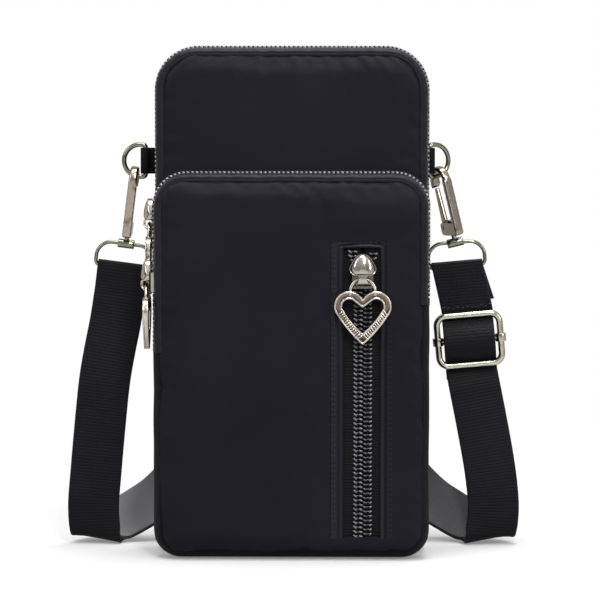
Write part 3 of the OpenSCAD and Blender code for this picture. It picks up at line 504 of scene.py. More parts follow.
class Finishes:
    """Every finish of the pouch, each made once."""

    panel = Nylon("panel_nylon", (0.0106, 0.01, 0.0152), roughness=0.45, specular=0.1)
    welt = Nylon("welt_nylon", (0.0112, 0.0107, 0.0155), roughness=0.38, specular=0.22, crease=0.15)
    # Painted shade: the panel nylon made darker for the lower walls and underside; the tabs share it.
    gusset = Nylon("gusset_nylon", (0.0058, 0.0055, 0.0082), specular=0.07)
    # Painted light: the same nylon made paler for the strips over the top, where light falls from above.
    strip = Nylon("strip_nylon", (0.0135, 0.013, 0.0175), roughness=0.42, specular=0.15)
    lining = Nylon("lining_cloth", (0.03, 0.03, 0.036), roughness=0.75, threads=1800.0)
    foam = Nylon("foam_sheet", (0.45, 0.44, 0.4), roughness=0.9, specular=0.1, threads=700.0)
    # The strap's inner colour is a painted sheen, standing in for light on its inner face.
    strap = Webbing(
        "strap_webbing_cloth", (0.0076, 0.0073, 0.0102), inner=(0.2, 0.2, 0.21),
        rib=0.0012, specular=0.12, bump=0.4,
    )
    tape = Webbing(
        "zip_tape_cloth", (0.007, 0.0069, 0.0092), rib=0.0011, thread=0.0009, specular=0.1, depth=0.0002,
    )
    # The coils' third colour is a painted highlight on the teeth.
    coil = Filament("coil_filament", (0.012, 0.012, 0.015), (0.4, 0.4, 0.43), roughness=0.2, specular=0.6)
    front_coil = Filament(
        "front_coil_filament", (0.01, 0.01, 0.012), (0.2, 0.2, 0.215), roughness=0.2, specular=0.6,
    )
    thread = Filament("sewing_thread", (0.019, 0.0185, 0.024), roughness=0.5, specular=0.25)
    # Each metal's flank colour is painted shade on its sides.
    pull = Metal(
        "pull_metal", (0.78, 0.73, 0.64), roughness=0.17, tarnish=(0.34, 0.28, 0.22),
        recess=(0.17, 0.125, 0.1), painted_flank_shade=(0.3, 0.25, 0.2), flank_shade_share=0.6,
    )
    slider = Metal(
        "slider_metal", (0.6, 0.56, 0.49), roughness=0.15,
        recess=(0.1, 0.09, 0.075), painted_flank_shade=(0.2, 0.17, 0.14), flank_shade_share=0.5,
    )
    hook = Metal("hook_metal", (0.5, 0.43, 0.36), roughness=0.17, painted_flank_shade=(0.11, 0.09, 0.06))
    ring = Metal(
        "ring_metal", (0.33, 0.33, 0.25), roughness=0.13, painted_flank_shade=(0.05, 0.05, 0.03), flank_shade_share=0.9,
    )
    buckle = Metal("buckle_metal", (0.68, 0.66, 0.55), tarnish=(0.34, 0.32, 0.25), painted_flank_shade=(0.14, 0.13, 0.09))

    @staticmethod
    @cache
    def of(finish: Finish) -> bpy.types.Material:
        """Returns the material of a finish, which is made once."""
        return finish.material()


def new_object(name: str, mesh: Mesh) -> Piece:
    """Puts a mesh into the scene as an object at the origin.

    Args:
        name: The object's name.
        mesh: The mesh.

    Returns:
        The object.
    """
    piece = bpy.data.objects.new(name, mesh)
    bpy.context.scene.collection.objects.link(piece)
    return piece


def shade(mesh: Mesh, sharp_deg: float) -> None:
    """Shades a mesh smooth, apart from edges that turn by more than an angle."""
    mesh.shade_smooth()
    mesh.set_sharp_from_angle(angle=math.radians(sharp_deg))


def mesh_from(
    name: str, points: Sequence, faces: Sequence, uv: Sequence[Flat] | None = None, sharp_deg: float = 40.0
) -> Mesh:
    """Makes a smooth mesh from points in millimetres.

    Args:
        name: The mesh's name.
        points: The corners.
        faces: The faces as corner numbers.
        uv: A UV place for each face corner, in metres, or None.
        sharp_deg: Edges that turn by more stay sharp.

    Returns:
        The mesh.
    """
    mesh = bpy.data.meshes.new(name)
    mesh.from_pydata([tuple(c * MM for c in p) for p in points], [], [tuple(f) for f in faces])
    if uv is not None:
        layer = mesh.uv_layers.new(name="cloth")
        layer.data.foreach_set("uv", np.array(uv, np.float32).ravel())
    shade(mesh, sharp_deg)
    mesh.validate()
    return mesh


def outward(mesh: Mesh) -> Mesh:
    """Turns the faces of closed shells outwards.

    Args:
        mesh: The mesh, which is changed.

    Returns:
        The same mesh.
    """
    work = bmesh.new()
    work.from_mesh(mesh)
    bmesh.ops.recalc_face_normals(work, faces=work.faces)
    work.to_mesh(mesh)
    work.free()
    return mesh


def ring_quads(a: int, b: int, around: int) -> list[tuple[int, ...]]:
    """The faces between two rings of points that start at the numbers a and b."""
    return [(a + j, a + (j + 1) % around, b + (j + 1) % around, b + j) for j in range(around)]


def shell_faces(rings: int, around: int, loop: bool = False) -> list[tuple[int, ...]]:
    """The faces of a shell through rings of points.

    Args:
        rings: How many rings it has.
        around: How many points are in a ring.
        loop: Whether it runs back into its first ring, and so has no ends.

    Returns:
        The faces.
    """
    faces = []
    for i in range(rings if loop else rings - 1):
        faces += ring_quads(i * around, (i + 1) % rings * around, around)
    if not loop:
        faces.append(tuple(range(around - 1, -1, -1)))
        faces.append(tuple((rings - 1) * around + j for j in range(around)))
    return faces


def shell_mesh(
    name: str, rings: list[list[Point]], along: Sequence, girth: Sequence, sharp_deg: float = 50.0
) -> Mesh:
    """A closed shell through rings of points, with a UV map that follows it.

    Args:
        name: The mesh's name.
        rings: The rings.
        along: How far along the shell each ring lies.
        girth: How far round the shell each point lies, and once more the first point.
        sharp_deg: Edges that turn by more stay sharp.

    Returns:
        The mesh.
    """
    uv = []
    for u0, u1 in zip(along, along[1:]):
        for v0, v1 in zip(girth, girth[1:]):
            uv += [(u * MM, v * MM) for u, v in ((u0, v0), (u0, v1), (u1, v1), (u1, v0))]
    around = len(rings[0])
    uv += [(0.0, 0.0)] * (2 * around)
    points = [p for ring in rings for p in ring]
    return outward(mesh_from(name, points, shell_faces(len(rings), around), uv, sharp_deg))


def dress(piece: Piece, finish: Finish, node: str | None = None) -> Piece:
    """Gives a finished piece its material and its body from the record, and hides the CAD node that it stands
    for.

    Args:
        piece: The piece.
        finish: Its finish.
        node: The CAD node that it stands for, or None for a piece on the pouch itself.

    Returns:
        The piece.
    """
    piece.data.materials.clear()
    piece.data.materials.append(Finishes.of(finish))
    body = BODY_OF[node] if node else "pouch"
    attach(piece, body)
    if node:
        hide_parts(node)
    log.info("made %s on %s with %d faces", piece.name, body, len(piece.data.polygons))
    return piece


def baked(piece: Piece, name: str) -> Piece:
    """Turns an object with modifiers into a plain mesh object.

    Args:
        piece: The object, which is removed.
        name: The new object's name.

    Returns:
        The new object.
    """
    bpy.context.view_layer.update()
    seen = piece.evaluated_get(bpy.context.evaluated_depsgraph_get())
    mesh = bpy.data.meshes.new_from_object(seen)
    bpy.data.objects.remove(piece)
    mesh.name = name
    made = new_object(name, mesh)
    made.name = name
    return made


@dataclass(frozen=True)
class Copy:
    """A reworked copy of a CAD node, which stands for it."""

    node: str
    name: str
    finish: Finish
    doubles: float = 2e-6
    flat_deg: float = 0.6
    bevel_deg: float = 38.0

    def _merged(self, flatten: bool = False) -> Mesh:
        """Copies the node's mesh with its loose triangles joined.

        Args:
            flatten: Whether triangles that lie in one plane become one face.

        Returns:
            The mesh.
        """
        mesh = frame["nodes"][self.node].data.copy()
        mesh.name = self.name
        work = bmesh.new()
        work.from_mesh(mesh)
        bmesh.ops.remove_doubles(work, verts=work.verts, dist=self.doubles)
        if flatten:
            limit = math.radians(self.flat_deg)
            bmesh.ops.dissolve_limit(
                work, angle_limit=limit, verts=work.verts, edges=work.edges, delimit={"NORMAL"}
            )
            bmesh.ops.connect_verts_concave(work, faces=work.faces)
        work.to_mesh(mesh)
        work.free()
        return mesh

    def softened(self, width: float, segments: int = 2) -> Piece:
        """The copy with its hard edges rounded.

        Args:
            width: How far each edge is rounded, in millimetres.
            segments: Steps round each edge.

        Returns:
            The piece.
        """
        piece = new_object(self.name, self._merged(flatten=True))
        bevel = piece.modifiers.new("edges", "BEVEL")
        bevel.width, bevel.segments = width * MM, segments
        bevel.limit_method, bevel.angle_limit = "ANGLE", math.radians(self.bevel_deg)
        made = baked(piece, self.name)
        shade(made.data, 42)
        return dress(made, self.finish, self.node)

    def wire(self) -> None:
        """Makes the copy shaded smooth, as drawn wire is."""
        mesh = self._merged()
        shade(mesh, 50)
        dress(new_object(self.name, mesh), self.finish, self.node)

    def cast(self, voxel: float = 0.28, rounds: int = 9) -> None:
        """Makes the copy rounded all over as a die casting is.

        Args:
            voxel: Size of its mesh, in millimetres.
            rounds: How many times it is smoothed.
        """
        piece = new_object(self.name, self._merged())
        grid = piece.modifiers.new("grid", "REMESH")
        grid.mode = "VOXEL"
        grid.voxel_size = voxel * MM
        soft = piece.modifiers.new("soft", "SMOOTH")
        soft.factor = 0.5
        soft.iterations = rounds
        made = baked(piece, self.name)
        made.data.shade_smooth()
        dress(made, self.finish, self.node)


@dataclass
class Station:
    """A place along a path round the pouch, in the X Z plane, in millimetres."""

    x: float
    z: float
    nx: float
    nz: float
    s: float

    def at(self, y: float, inset: float) -> Point:
        """A point at a depth y and a distance inside the path."""
        return (self.x - self.nx * inset, y, self.z - self.nz * inset)

    def spot(self, y: float, inset: float) -> Spot:
        """A spot there that looks along the path and out of it."""
        return Spot(self.at(y, inset), (self.nz, 0.0, -self.nx), (self.nx, 0.0, self.nz))


@dataclass
class Rail:
    """A path of straight runs and quarter circles round the pouch."""

    runs: list[tuple]

    def length(self) -> float:
        """The length of the path."""
        return sum(self._len(r) for r in self.runs)

    @staticmethod
    def _len(run: tuple) -> float:
        """The length of one run."""
        if run[0] == "line":
            return math.dist(run[1], run[2])
        return run[2] * math.radians(abs(run[4] - run[3]))

    def station(self, s: float) -> Station:
        """The station at a distance along the path.

        Args:
            s: The distance in millimetres.

        Returns:
            The station.
        """
        left = s
        for i, run in enumerate(self.runs):
            size = self._len(run)
            if left <= size or i == len(self.runs) - 1:
                share = left / size
                if run[0] == "line":
                    _, a, b, n = run
                    return Station(blend(a[0], b[0], share), blend(a[1], b[1], share), n[0], n[1], s)
                _, c, r, a0, a1 = run
                a = math.radians(blend(a0, a1, share))
                return Station(c[0] + r * math.cos(a), c[1] + r * math.sin(a), math.cos(a), math.sin(a), s)
            left -= size
        raise ValueError("the path has no runs")

    def stations(self, step: float) -> list[Station]:
        """Stations spread evenly along the path, about a step apart."""
        count = max(2, round(self.length() / step))
        return [self.station(self.length() * i / count) for i in range(count + 1)]


@dataclass
class Pouch:
    """Sizes of the fabric body, in millimetres."""

    half_w: float = 51.5
    body_h: float = 190.0
    pocket_h: float = 144.0
    top_r: float = 16.5
    pocket_r: float = 13.0
    base_r: float = 10.5
    seam: float = 3.2
    y_back: float = 10.0
    y_mid: float = -10.0
    y_front: float = -26.0
    panel_t: float = 1.2
    main_ends: Flat = (72.0, 90.0)
    pocket_ends: Flat = (77.0, 95.0)
    coil_seat: float = 1.8
    main_y: float = 0.0
    pocket_y: float = -17.4
    main_slider_z: float = 128.0
    pocket_slider_z: float = 106.5

    def arch(self, height: float, radius: float, ends: Flat) -> Rail:
        """The path up the left side, over the top and down the right side.

        Args:
            height: Height of the compartment.
            radius: Its corner radius.
            ends: Heights at which the path starts and ends.

        Returns:
            The path.
        """
        w = self.half_w
        low = height - radius
        return Rail([
            ("line", (-w, ends[0]), (-w, low), (-1, 0)),
            ("arc", (radius - w, low), radius, 180, 90),
            ("line", (radius - w, height), (w - radius, height), (0, 1)),
            ("arc", (w - radius, low), radius, 90, 0),
            ("line", (w, low), (w, ends[1]), (1, 0)),
        ])

    def cup(self, ends: Flat) -> Rail:
        """The path down the left side, under the base and up the right side.

        Args:
            ends: Heights at which the path starts and ends.

        Returns:
            The path.
        """
        w, r = self.half_w, self.base_r
        return Rail([
            ("line", (-w, ends[0]), (-w, r), (-1, 0)),
            ("arc", (r - w, r), r, 180, 270),
            ("line", (r - w, 0), (w - r, 0), (0, -1)),
            ("arc", (w - r, r), r, 270, 360),
            ("line", (w, r), (w, ends[1]), (1, 0)),
        ])

    @property
    def main_zip(self) -> Rail:
        """The path of the main zip."""
        return self.arch(self.body_h, self.top_r, self.main_ends)

    @property
    def pocket_zip(self) -> Rail:
        """The path of the pocket zip."""
        return self.arch(self.pocket_h, self.pocket_r, self.pocket_ends)


def sweep(name: str, stations: list[Station], section: Callable[[Station], list[Flat]]) -> Mesh:
    """A closed strip of cloth along a path, with its UV map.

    Args:
        name: The mesh's name.
        stations: The places along the path.
        section: The closed outline at a station as depth and inset.

    Returns:
        The mesh.
    """
    rings = [[st.at(*p) for p in section(st)] for st in stations]
    first = rings[0]
    girth = [0.0]
    for a, b in zip(first, first[1:] + first[:1]):
        girth.append(girth[-1] + math.dist(a, b))
    return shell_mesh(name, rings, [st.s for st in stations], girth)


def spline(points: Sequence[Any], steps: int) -> list[np.ndarray]:
    """A smooth curve through points, with steps from each to the next.

    Args:
        points: The points that it passes.
        steps: Steps between two points.

    Returns:
        The points of the curve.
    """
    p = [np.asarray(q, float) for q in points]
    n = len(p)
    made = []
    for i in range(n - 1):
        a, b, c, d = p[max(0, i - 1)], p[i], p[i + 1], p[min(n - 1, i + 2)]
        for k in range(steps):
            t = k / steps
            square, cube = 2 * a - 5 * b + 4 * c - d, 3 * b - a - 3 * c + d
            made.append(0.5 * (2 * b + (c - a) * t + square * t * t + cube * t ** 3))
    made.append(p[-1])
    return made


@dataclass
class Window:
    """The opening in a panel that the front zip lies in, in millimetres."""

    x0: float
    x1: float
    z0: float
    z1: float


@dataclass
class ClothFace:
    """A crowned cloth panel that tucks into the seam round it."""

    name: str
    node: str
    height: float
    top_r: float
    seam_y: float
    out: float
    pouch: Pouch
    crown: float = 0.55
    tuck: float = 1.3
    roll: float = 1.15
    pucker: float = 0.3
    thickness: float = 1.0
    window: Window | None = None
    step: float = 2.2
    near_edge: tuple[float, ...] = (0.0, 0.35, 0.8, 1.5, 2.4, 3.6, 5.2)
    corner_steps: int = 10
    stray: float = 1.8
    pressure: float = 1.4
    cap: float = 0.8
    growth: float = 0.008
    frames: int = 20
    cloth_scale: float = 10.0

    def _rows(self) -> list[Flat]:
        """Spreads the rows of the grid from the base to the top.

        Returns:
            Height and half width of each row.
        """
        p, n = self.pouch, self.corner_steps
        low_r, high_r = p.base_r - p.seam, self.top_r - p.seam
        rows = []
        for i in range(n):
            a = math.radians(90 * i / n)
            rows.append((p.base_r - low_r * math.cos(a), p.half_w - p.base_r + low_r * math.sin(a)))
        top = self.height - self.top_r
        count = round((top - p.base_r) / self.step)
        levels = [blend(p.base_r, top, i / count) for i in range(count + 1)]
        if self.window:
            for edge in (self.window.z0, self.window.z1):
                near = min(range(len(levels)), key=lambda i: abs(levels[i] - edge))
                if abs(levels[near] - edge) < self.step:
                    levels[near] = edge
        rows += [(z, p.half_w - p.seam) for z in levels]
        for i in range(1, n + 1):
            a = math.radians(90 * i / n)
            rows.append((top + high_r * math.sin(a), p.half_w - self.top_r + high_r * math.cos(a)))
        return rows

    def _columns(self, x0: float, x1: float, left_edge: bool, right_edge: bool) -> list[float]:
        """Spreads columns over a part of the panel, closer together at its outer edges.

        Args:
            x0: Where the part starts.
            x1: Where it ends.
            left_edge: Whether it starts at the panel's edge.
            right_edge: Whether it ends there.

        Returns:
            Shares of the way from x0 to x1.
        """
        span = x1 - x0
        left = list(self.near_edge) if left_edge else [0.0]
        right = [span - d for d in reversed(self.near_edge if right_edge else (0.0,))]
        count = max(1, round((right[0] - left[-1]) / self.step))
        middle = [blend(left[-1], right[0], i / count) for i in range(1, count)]
        return [d / span for d in (left + middle + right)]

    def edge_distance(self, x: float, z: float) -> float:
        """Measures how far a point lies inside the panel's outline.

        Args:
            x: The point's X.
            z: Its height.

        Returns:
            The distance, below zero outside.
        """
        p = self.pouch
        half = p.half_w - p.seam
        middle = self.height / 2
        r = (self.top_r if z > middle else p.base_r) - p.seam
        qx = abs(x) - half + r
        qz = abs(z - middle) - (middle - p.seam) + r
        outside = math.hypot(max(qx, 0), max(qz, 0))
        return r - outside - min(max(qx, qz), 0)

    def wander(self, x: float, z: float) -> Flat:
        """Moves a point a little in its plane, because no sewn edge is straight.

        Args:
            x: The point's X.
            z: Its height.

        Returns:
            The moved point.
        """
        e = max(0.0, self.edge_distance(x, z))
        fade = math.exp(-((e / 6) ** 2))
        along = 0.5 * ripple(x, self.seam_y, z, 13) + 0.22 * ripple(x, self.seam_y + 9, z, 5)
        reach = self.stray * along * fade
        cx, cz = x / self.pouch.half_w, (z - self.height / 2) / (self.height / 2)
        big = max(abs(cx), abs(cz), 1e-6)
        return x + reach * (cx / big) ** 5, z + reach * (cz / big) ** 5

    def depth(self, x: float, z: float) -> float:
        """Measures how far the cloth stands out of the seam plane at a point.

        Args:
            x: The point's X.
            z: Its height.

        Returns:
            The depth, with the roll at the seam, the swell, gathers, folds and drape.
        """
        e = max(0.0, self.edge_distance(x, z))
        roll = 1 - math.exp(-((e / self.roll) ** 1.5))
        across = max(0.0, 1 - (x / self.pouch.half_w) ** 2)
        up = max(0.0, 1 - ((z - self.height / 2) / (self.height / 2)) ** 2)
        swell = self.crown * across ** 0.6 * up ** 0.35 * smooth(e / 22)
        along = x + z * 0.9
        gather = math.sin(along * 1.05 + 2.6 * ripple(x, 0, z, 15)) * math.exp(-e / 4.2)
        fold = ripple(x * 0.5, 3.1, z, 11) * math.exp(-e / 9) * 0.6
        drape = ripple(x, 7.7, z * 0.45, 23) * 0.42 + ripple(x, 1.3, z * 0.7, 9) * 0.1
        live = smooth(e / 1.2)
        if self.window:
            w = self.window
            dx = max(w.x0 - x, x - w.x1, 0)
            dz = max(z - w.z1, 0)
            live *= smooth(math.hypot(dx, dz) / 7)
        relief = swell + (gather + fold) * self.pucker + drape * smooth(e / 10)
        return -self.tuck + self.tuck * 1.12 * roll + relief * live

    def _settle(self, piece: Piece, border: list[int]) -> None:
        """Lets the panel swell as cloth that is held along its seams.

        Args:
            piece: The open panel, which is changed.
            border: The points that the seams hold.
        """
        count = len(piece.data.vertices)
        start = np.empty(count * 3)
        piece.data.vertices.foreach_get("co", start)
        start = start.reshape(-1, 3)
        mesh = piece.data.copy()
        mesh.vertices.foreach_set("co", (start * self.cloth_scale).ravel())
        work = new_object(self.name + "_settling", mesh)
        work.vertex_groups.new(name="seam").add(border, 1.0, "REPLACE")
        cloth = work.modifiers.new("cloth", "CLOTH")
        settings = {
            "quality": 6, "mass": 0.3, "tension_stiffness": 15, "compression_stiffness": 15,
            "shear_stiffness": 6, "bending_stiffness": 0.4, "vertex_group_mass": "seam",
            "use_pressure": True, "uniform_pressure_force": self.pressure, "shrink_min": -self.growth,
        }
        for key, value in settings.items():
            setattr(cloth.settings, key, value)
        cloth.settings.effector_weights.gravity = 0
        cloth.point_cache.frame_start = 1
        cloth.point_cache.frame_end = self.frames
        scene = bpy.context.scene
        for f in range(1, self.frames + 1):
            scene.frame_set(f)
        seen = work.evaluated_get(bpy.context.evaluated_depsgraph_get())
        end = np.empty(count * 3)
        seen.data.vertices.foreach_get("co", end)
        move = end.reshape(-1, 3) / self.cloth_scale - start
        size = np.linalg.norm(move, axis=1, keepdims=True)
        move *= np.minimum(1.0, self.cap * MM / np.maximum(size, 1e-9))
        log.info("%s moved by up to %.2f mm", self.name, float(size.max()) / MM)
        piece.data.vertices.foreach_set("co", (start + move).ravel())
        bpy.data.objects.remove(work)
        scene.frame_set(1)

    def _parts(self, wide: float) -> list[Flat]:
        """Splits a row of a half width at the window into parts, each with its start and end."""
        w = self.window
        return [(-wide, w.x0), (w.x0, w.x1), (w.x1, wide)] if w else [(-wide, wide)]

    def _grid(self) -> tuple[list[Point], list[tuple[int, ...]]]:
        """Lays out the panel as a grid with the window left open.

        Returns:
            Its points and faces.
        """
        rows, w = self._rows(), self.window
        spans = self._parts(self.pouch.half_w - self.pouch.seam)
        last = len(spans) - 1
        groups = [self._columns(x0, x1, i == 0, i == last) for i, (x0, x1) in enumerate(spans)]
        points: list[Point] = []
        for z, wide in rows:
            for i, ((x0, x1), shares) in enumerate(zip(self._parts(wide), groups)):
                for share in shares[1:] if i else shares:
                    x = blend(x0, x1, share)
                    wx, wz = self.wander(x, z)
                    points.append((wx, self.seam_y + self.out * self.depth(x, z), wz))
        columns = len(points) // len(rows)
        first = len(groups[0]) - 1
        hole = range(first, first + len(groups[1]) - 1) if w else range(0)
        faces = []
        for i in range(len(rows) - 1):
            z = (rows[i][0] + rows[i + 1][0]) / 2
            for j in range(columns - 1):
                if j in hole and w.z0 < z < w.z1:
                    continue
                a, b = i * columns + j, (i + 1) * columns + j
                quad = (a, a + 1, b + 1, b)
                faces.append(quad if self.out < 0 else quad[::-1])
        return points, faces

    def build(self) -> None:
        """Builds the panel."""
        piece = new_object(self.name, mesh_from(self.name, *self._grid(), sharp_deg=60))
        self._settle(piece, self._border(piece.data))
        wall = piece.modifiers.new("cloth", "SOLIDIFY")
        wall.thickness = self.thickness * MM
        wall.offset = -1
        made = baked(piece, self.name)
        shade(made.data, 60)
        dress(made, Finishes.panel, self.node)

    @staticmethod
    def _border(mesh: Mesh) -> list[int]:
        """Finds the points on the open edges of a mesh and the points next to them.

        Args:
            mesh: The mesh.

        Returns:
            The points' numbers.
        """
        work = bmesh.new()
        work.from_mesh(mesh)
        held = {v.index for v in work.verts if v.is_boundary}
        held |= {e.other_vert(v).index for v in work.verts if v.is_boundary for e in v.link_edges}
        work.free()
        return sorted(held)


@dataclass
class Gussets:
    """The lower side walls and the strips that carry the zips round the top."""

    pouch: Pouch
    base_t: float = 1.2
    strip_t: float = 0.8
    tape_t: float = 0.5
    strip_edge_half: float = 4.3
    strip_roll: float = 0.65
    flat_roll: float = 0.15
    step: float = 1.8
    strip_step: float = 1.3
    tape_step: float = 2.2

    @staticmethod
    def _wall(outer: list[Flat], thick: float) -> list[Flat]:
        """Closes an outer line of depth and inset with an inner one."""
        return outer + [(y, inset + thick) for y, inset in reversed(outer)]

    def lower(self, part: str, y0: float, y1: float, ends: Flat) -> None:
        """Builds a lower gusset that swells out between its seams.

        Args:
            part: The compartment that it belongs to.
            y0: Depth of the front seam.
            y1: Depth of the rear seam.
            ends: Heights of its two ends.
        """

        def outer(st: Station) -> list[Flat]:
            """The outer line at a station."""
            line = []
            for i in range(13):
                y = blend(y0, y1, i / 12)
                edge = min(i / 12, 1 - i / 12) * (y1 - y0)
                inset = self.pouch.seam * math.exp(-((edge / 2.3) ** 1.5))
                sag = 0.22 * (1 + ripple(st.s, y, 2.0, 14)) * smooth(edge / 3)
                tuck = 0.18 * (1 + ripple(st.s * 2, y, 5.0, 4)) * math.exp(-edge / 2)
                lift = 0.0 if st.nz < -0.3 else 1.0
                line.append((y, inset + (sag + tuck) * lift))
            return line

        rail = self.pouch.cup(ends)
        name = f"{part}_gusset_cloth"
        mesh = sweep(name, rail.stations(self.step), lambda st: self._wall(outer(st), self.base_t))
        made = dress(new_object(name, mesh), Finishes.gusset, f"{part}_base_gusset")
        outer(rail.station(rail.length() / 2))
        rail.length()

    def strip(self, part: str, end: str, rail: Rail, seam_y: float, zip_y: float) -> None:
        """Builds a strip from a panel seam to the edge of the zip.

        Args:
            part: The compartment that it belongs to.
            end: Whether it lies to the front or rear of the zip.
            rail: The path of the zip.
            seam_y: Depth of the seam.
            zip_y: Depth of the middle of the zip.
        """
        way = 1.0 if zip_y > seam_y else -1.0
        edge_y = zip_y - way * self.strip_edge_half
        roll = self.strip_roll if seam_y < self.pouch.y_mid + 2 and way > 0 else self.flat_roll
        near = [(0.9, 3.9), (0.05, 3.35), (-0.85 * roll, 2.75), (-roll, 2.1), (-0.45 * roll, 1.45)]
        near += [(0.5, 1.0), (1.2, 0.82)]
        line = [(seam_y + way * y, inset) for y, inset in near]
        line += [(edge_y - way * 0.9, 0.72), (edge_y - way * 0.3, 0.75), (edge_y, 1.1)]
        profile = spline(line, 2)

        def section(st: Station) -> list[Flat]:
            """The closed outline at a station."""
            outer = []
            for k, (y, inset) in enumerate(profile):
                share = k / (len(profile) - 1)
                wave = math.sin(st.s * 1.2 + 2.4 * ripple(st.s, 0, 4, 13)) * (1 - share)
                puff = 0.2 * ripple(st.s, share * 3, seam_y, 7) + 0.14 * wave
                live = smooth(share * 4) * smooth((1 - share) * 5)
                outer.append((y + 0.5 * puff * live * way, inset + puff * live))
            return self._wall(outer, self.strip_t)

        name = f"{part}_{end}_strip_cloth"
        made = new_object(name, sweep(name, rail.stations(self.strip_step), section))
        dress(made, Finishes.strip, f"{part}_strip_{end}")

    def tape(self, part: str, end: str, rail: Rail, zip_y: float) -> None:
        """Builds a zip tape under one row of teeth.

        Args:
            part: The compartment that it belongs to.
            end: Whether it lies to the front or rear of the zip.
            rail: The path of the zip.
            zip_y: Depth of the middle of the zip.
        """
        name, way = f"{part}_{end}_zip_tape", 1 if end == "front" else -1
        near, far = zip_y - way * 0.55, zip_y - way * (self.strip_edge_half + 1.1)
        seat = self.pouch.coil_seat
        outer = [(far, seat + 0.05), (blend(far, near, 0.35), seat), (blend(far, near, 0.7), seat)]
        outer.append((near, seat))
        mesh = sweep(name, rail.stations(self.tape_step), lambda st: self._wall(outer, self.tape_t))
        made = dress(new_object(name, mesh), Finishes.tape, f"{part}_tape_{end}")

    def build(self) -> None:
        """Builds every gusset, strip and tape."""
        p = self.pouch
        main_y0, main_y1 = p.y_mid + p.panel_t, p.y_back - p.panel_t
        pocket_y0 = p.y_front + p.panel_t
        self.lower("main", main_y0, main_y1, p.main_ends)
        self.lower("pocket", pocket_y0, p.y_mid, p.pocket_ends)
        zips = (
            ("main", p.main_zip, p.main_y, main_y0, main_y1),
            ("pocket", p.pocket_zip, p.pocket_y, pocket_y0, p.y_mid),
        )
        for part, rail, zip_y, front_y, rear_y in zips:
            self.strip(part, "front", rail, front_y, zip_y)
            self.strip(part, "rear", rail, rear_y, zip_y)
        for part, rail, zip_y, _, _ in zips:
            for end in ("front", "rear"):
                self.tape(part, end, rail, zip_y)


@dataclass
class Spot:
    """A place for a repeated shape, with the ways along and out of the surface."""

    place: Point
    along: Point
    out: Point


class Repeats:
    """A Geometry Nodes tree that sets one small shape at many places."""

    @staticmethod
    @cache
    def rod_tree() -> Any:
        """Makes the tree that sets a bent rod at each place, once.

        Returns:
            The tree. A rod lies across the way along, bows out of the surface and leans along it.
        """
        tree = bpy.data.node_groups.new("bent_rods", "GeometryNodeTree")
        sockets = [("Places", "INPUT", "NodeSocketGeometry")]
        sockets += [(name, "INPUT", FLOAT) for name in ("Reach", "Rise", "Lean", "Radius", "Seat")]
        sockets += [("Finish", "INPUT", "NodeSocketMaterial"), ("Geometry", "OUTPUT", "NodeSocketGeometry")]
        for name, in_out, kind in sockets:
            tree.interface.new_socket(name, in_out=in_out, socket_type=kind)
        g = Graph(tree)
        start, end = g.add("NodeGroupInput").outputs, g.add("NodeGroupOutput")

        def point(x: Any, y: Any, z: Any) -> Any:
            """Adds a point of three values."""
            return g.add("ShaderNodeCombineXYZ", {0: x, 1: y, 2: z}).outputs[0]

        far, back = (g.math("MULTIPLY", start[key], -1.0) for key in ("Reach", "Lean"))
        bow = g.add("GeometryNodeCurveQuadraticBezier", {
            "Resolution": 5,
            "Start": point(start["Reach"], start["Seat"], start["Lean"]),
            "Middle": point(0.0, start["Rise"], 0.0),
            "End": point(far, start["Seat"], back),
        }).outputs[0]
        ring = g.add("GeometryNodeCurvePrimitiveCircle", {"Resolution": 6, "Radius": start["Radius"]})
        tube = {"Curve": bow, "Profile Curve": ring.outputs[0], "Fill Caps": True}
        rod = g.add("GeometryNodeCurveToMesh", tube).outputs[0]
        along, out = (
            g.add("GeometryNodeInputNamedAttribute", {"Name": key}, data_type="FLOAT_VECTOR").outputs[0]
            for key in ("along", "out")
        )
        first = g.add("FunctionNodeAlignRotationToVector", {"Vector": along}, axis="Z").outputs[0]
        turn = g.add(
            "FunctionNodeAlignRotationToVector", {"Rotation": first, "Vector": out}, axis="Y", pivot_axis="Z"
        ).outputs[0]
        spread = {"Points": start["Places"], "Instance": rod, "Rotation": turn}
        made = g.add("GeometryNodeInstanceOnPoints", spread).outputs[0]
        for kind, inputs in (
            ("GeometryNodeRealizeInstances", {}),
            ("GeometryNodeSetShadeSmooth", {}),
            ("GeometryNodeSetMaterial", {"Material": start["Finish"]}),
        ):
            made = g.add(kind, {0: made, **inputs}).outputs[0]
        g.feed(end, {0: made})
        return tree

    @classmethod
    def rods(cls, name: str, spots: list[Spot], finish: Finish, reach: float, **sizes: float) -> Piece:
        """Sets a bent rod at each spot.

        Args:
            name: The object's name.
            spots: The places.
            finish: The rods' finish.
            reach: How far a rod reaches to each side, in millimetres.
            sizes: Rise, lean, radius and seat, in millimetres.

        Returns:
            A plain mesh object with every rod.
        """
        mesh = bpy.data.meshes.new(name)
        mesh.from_pydata([tuple(c * MM for c in s.place) for s in spots], [], [])
        for key in ("along", "out"):
            layer = mesh.attributes.new(key, "FLOAT_VECTOR", "POINT")
            layer.data.foreach_set("vector", np.array([getattr(s, key) for s in spots], np.float32).ravel())
        piece = new_object(name, mesh)
        modifier = piece.modifiers.new("rods", "NODES")
        modifier.node_group = cls.rod_tree()
        values = {"Reach": reach, "Rise": 0.5, "Lean": 0.0, "Radius": 0.3, "Seat": 0.0}
        values.update({key.capitalize(): value for key, value in sizes.items()})
        for item in modifier.node_group.interface.items_tree:
            if item.in_out == "INPUT" and item.name in values:
                modifier[item.identifier] = values[item.name] * MM
            if item.in_out == "INPUT" and item.name == "Finish":
                modifier[item.identifier] = Finishes.of(finish)
        made = baked(piece, name)
        outward(made.data)
        return made


def mark(piece: Piece, key: str, values: Sequence[float]) -> None:
    """Gives each point of a piece a value that its finish reads."""
    layer = piece.data.attributes.new(key, "FLOAT", "POINT")
    layer.data.foreach_set("value", np.array(values, np.float32))


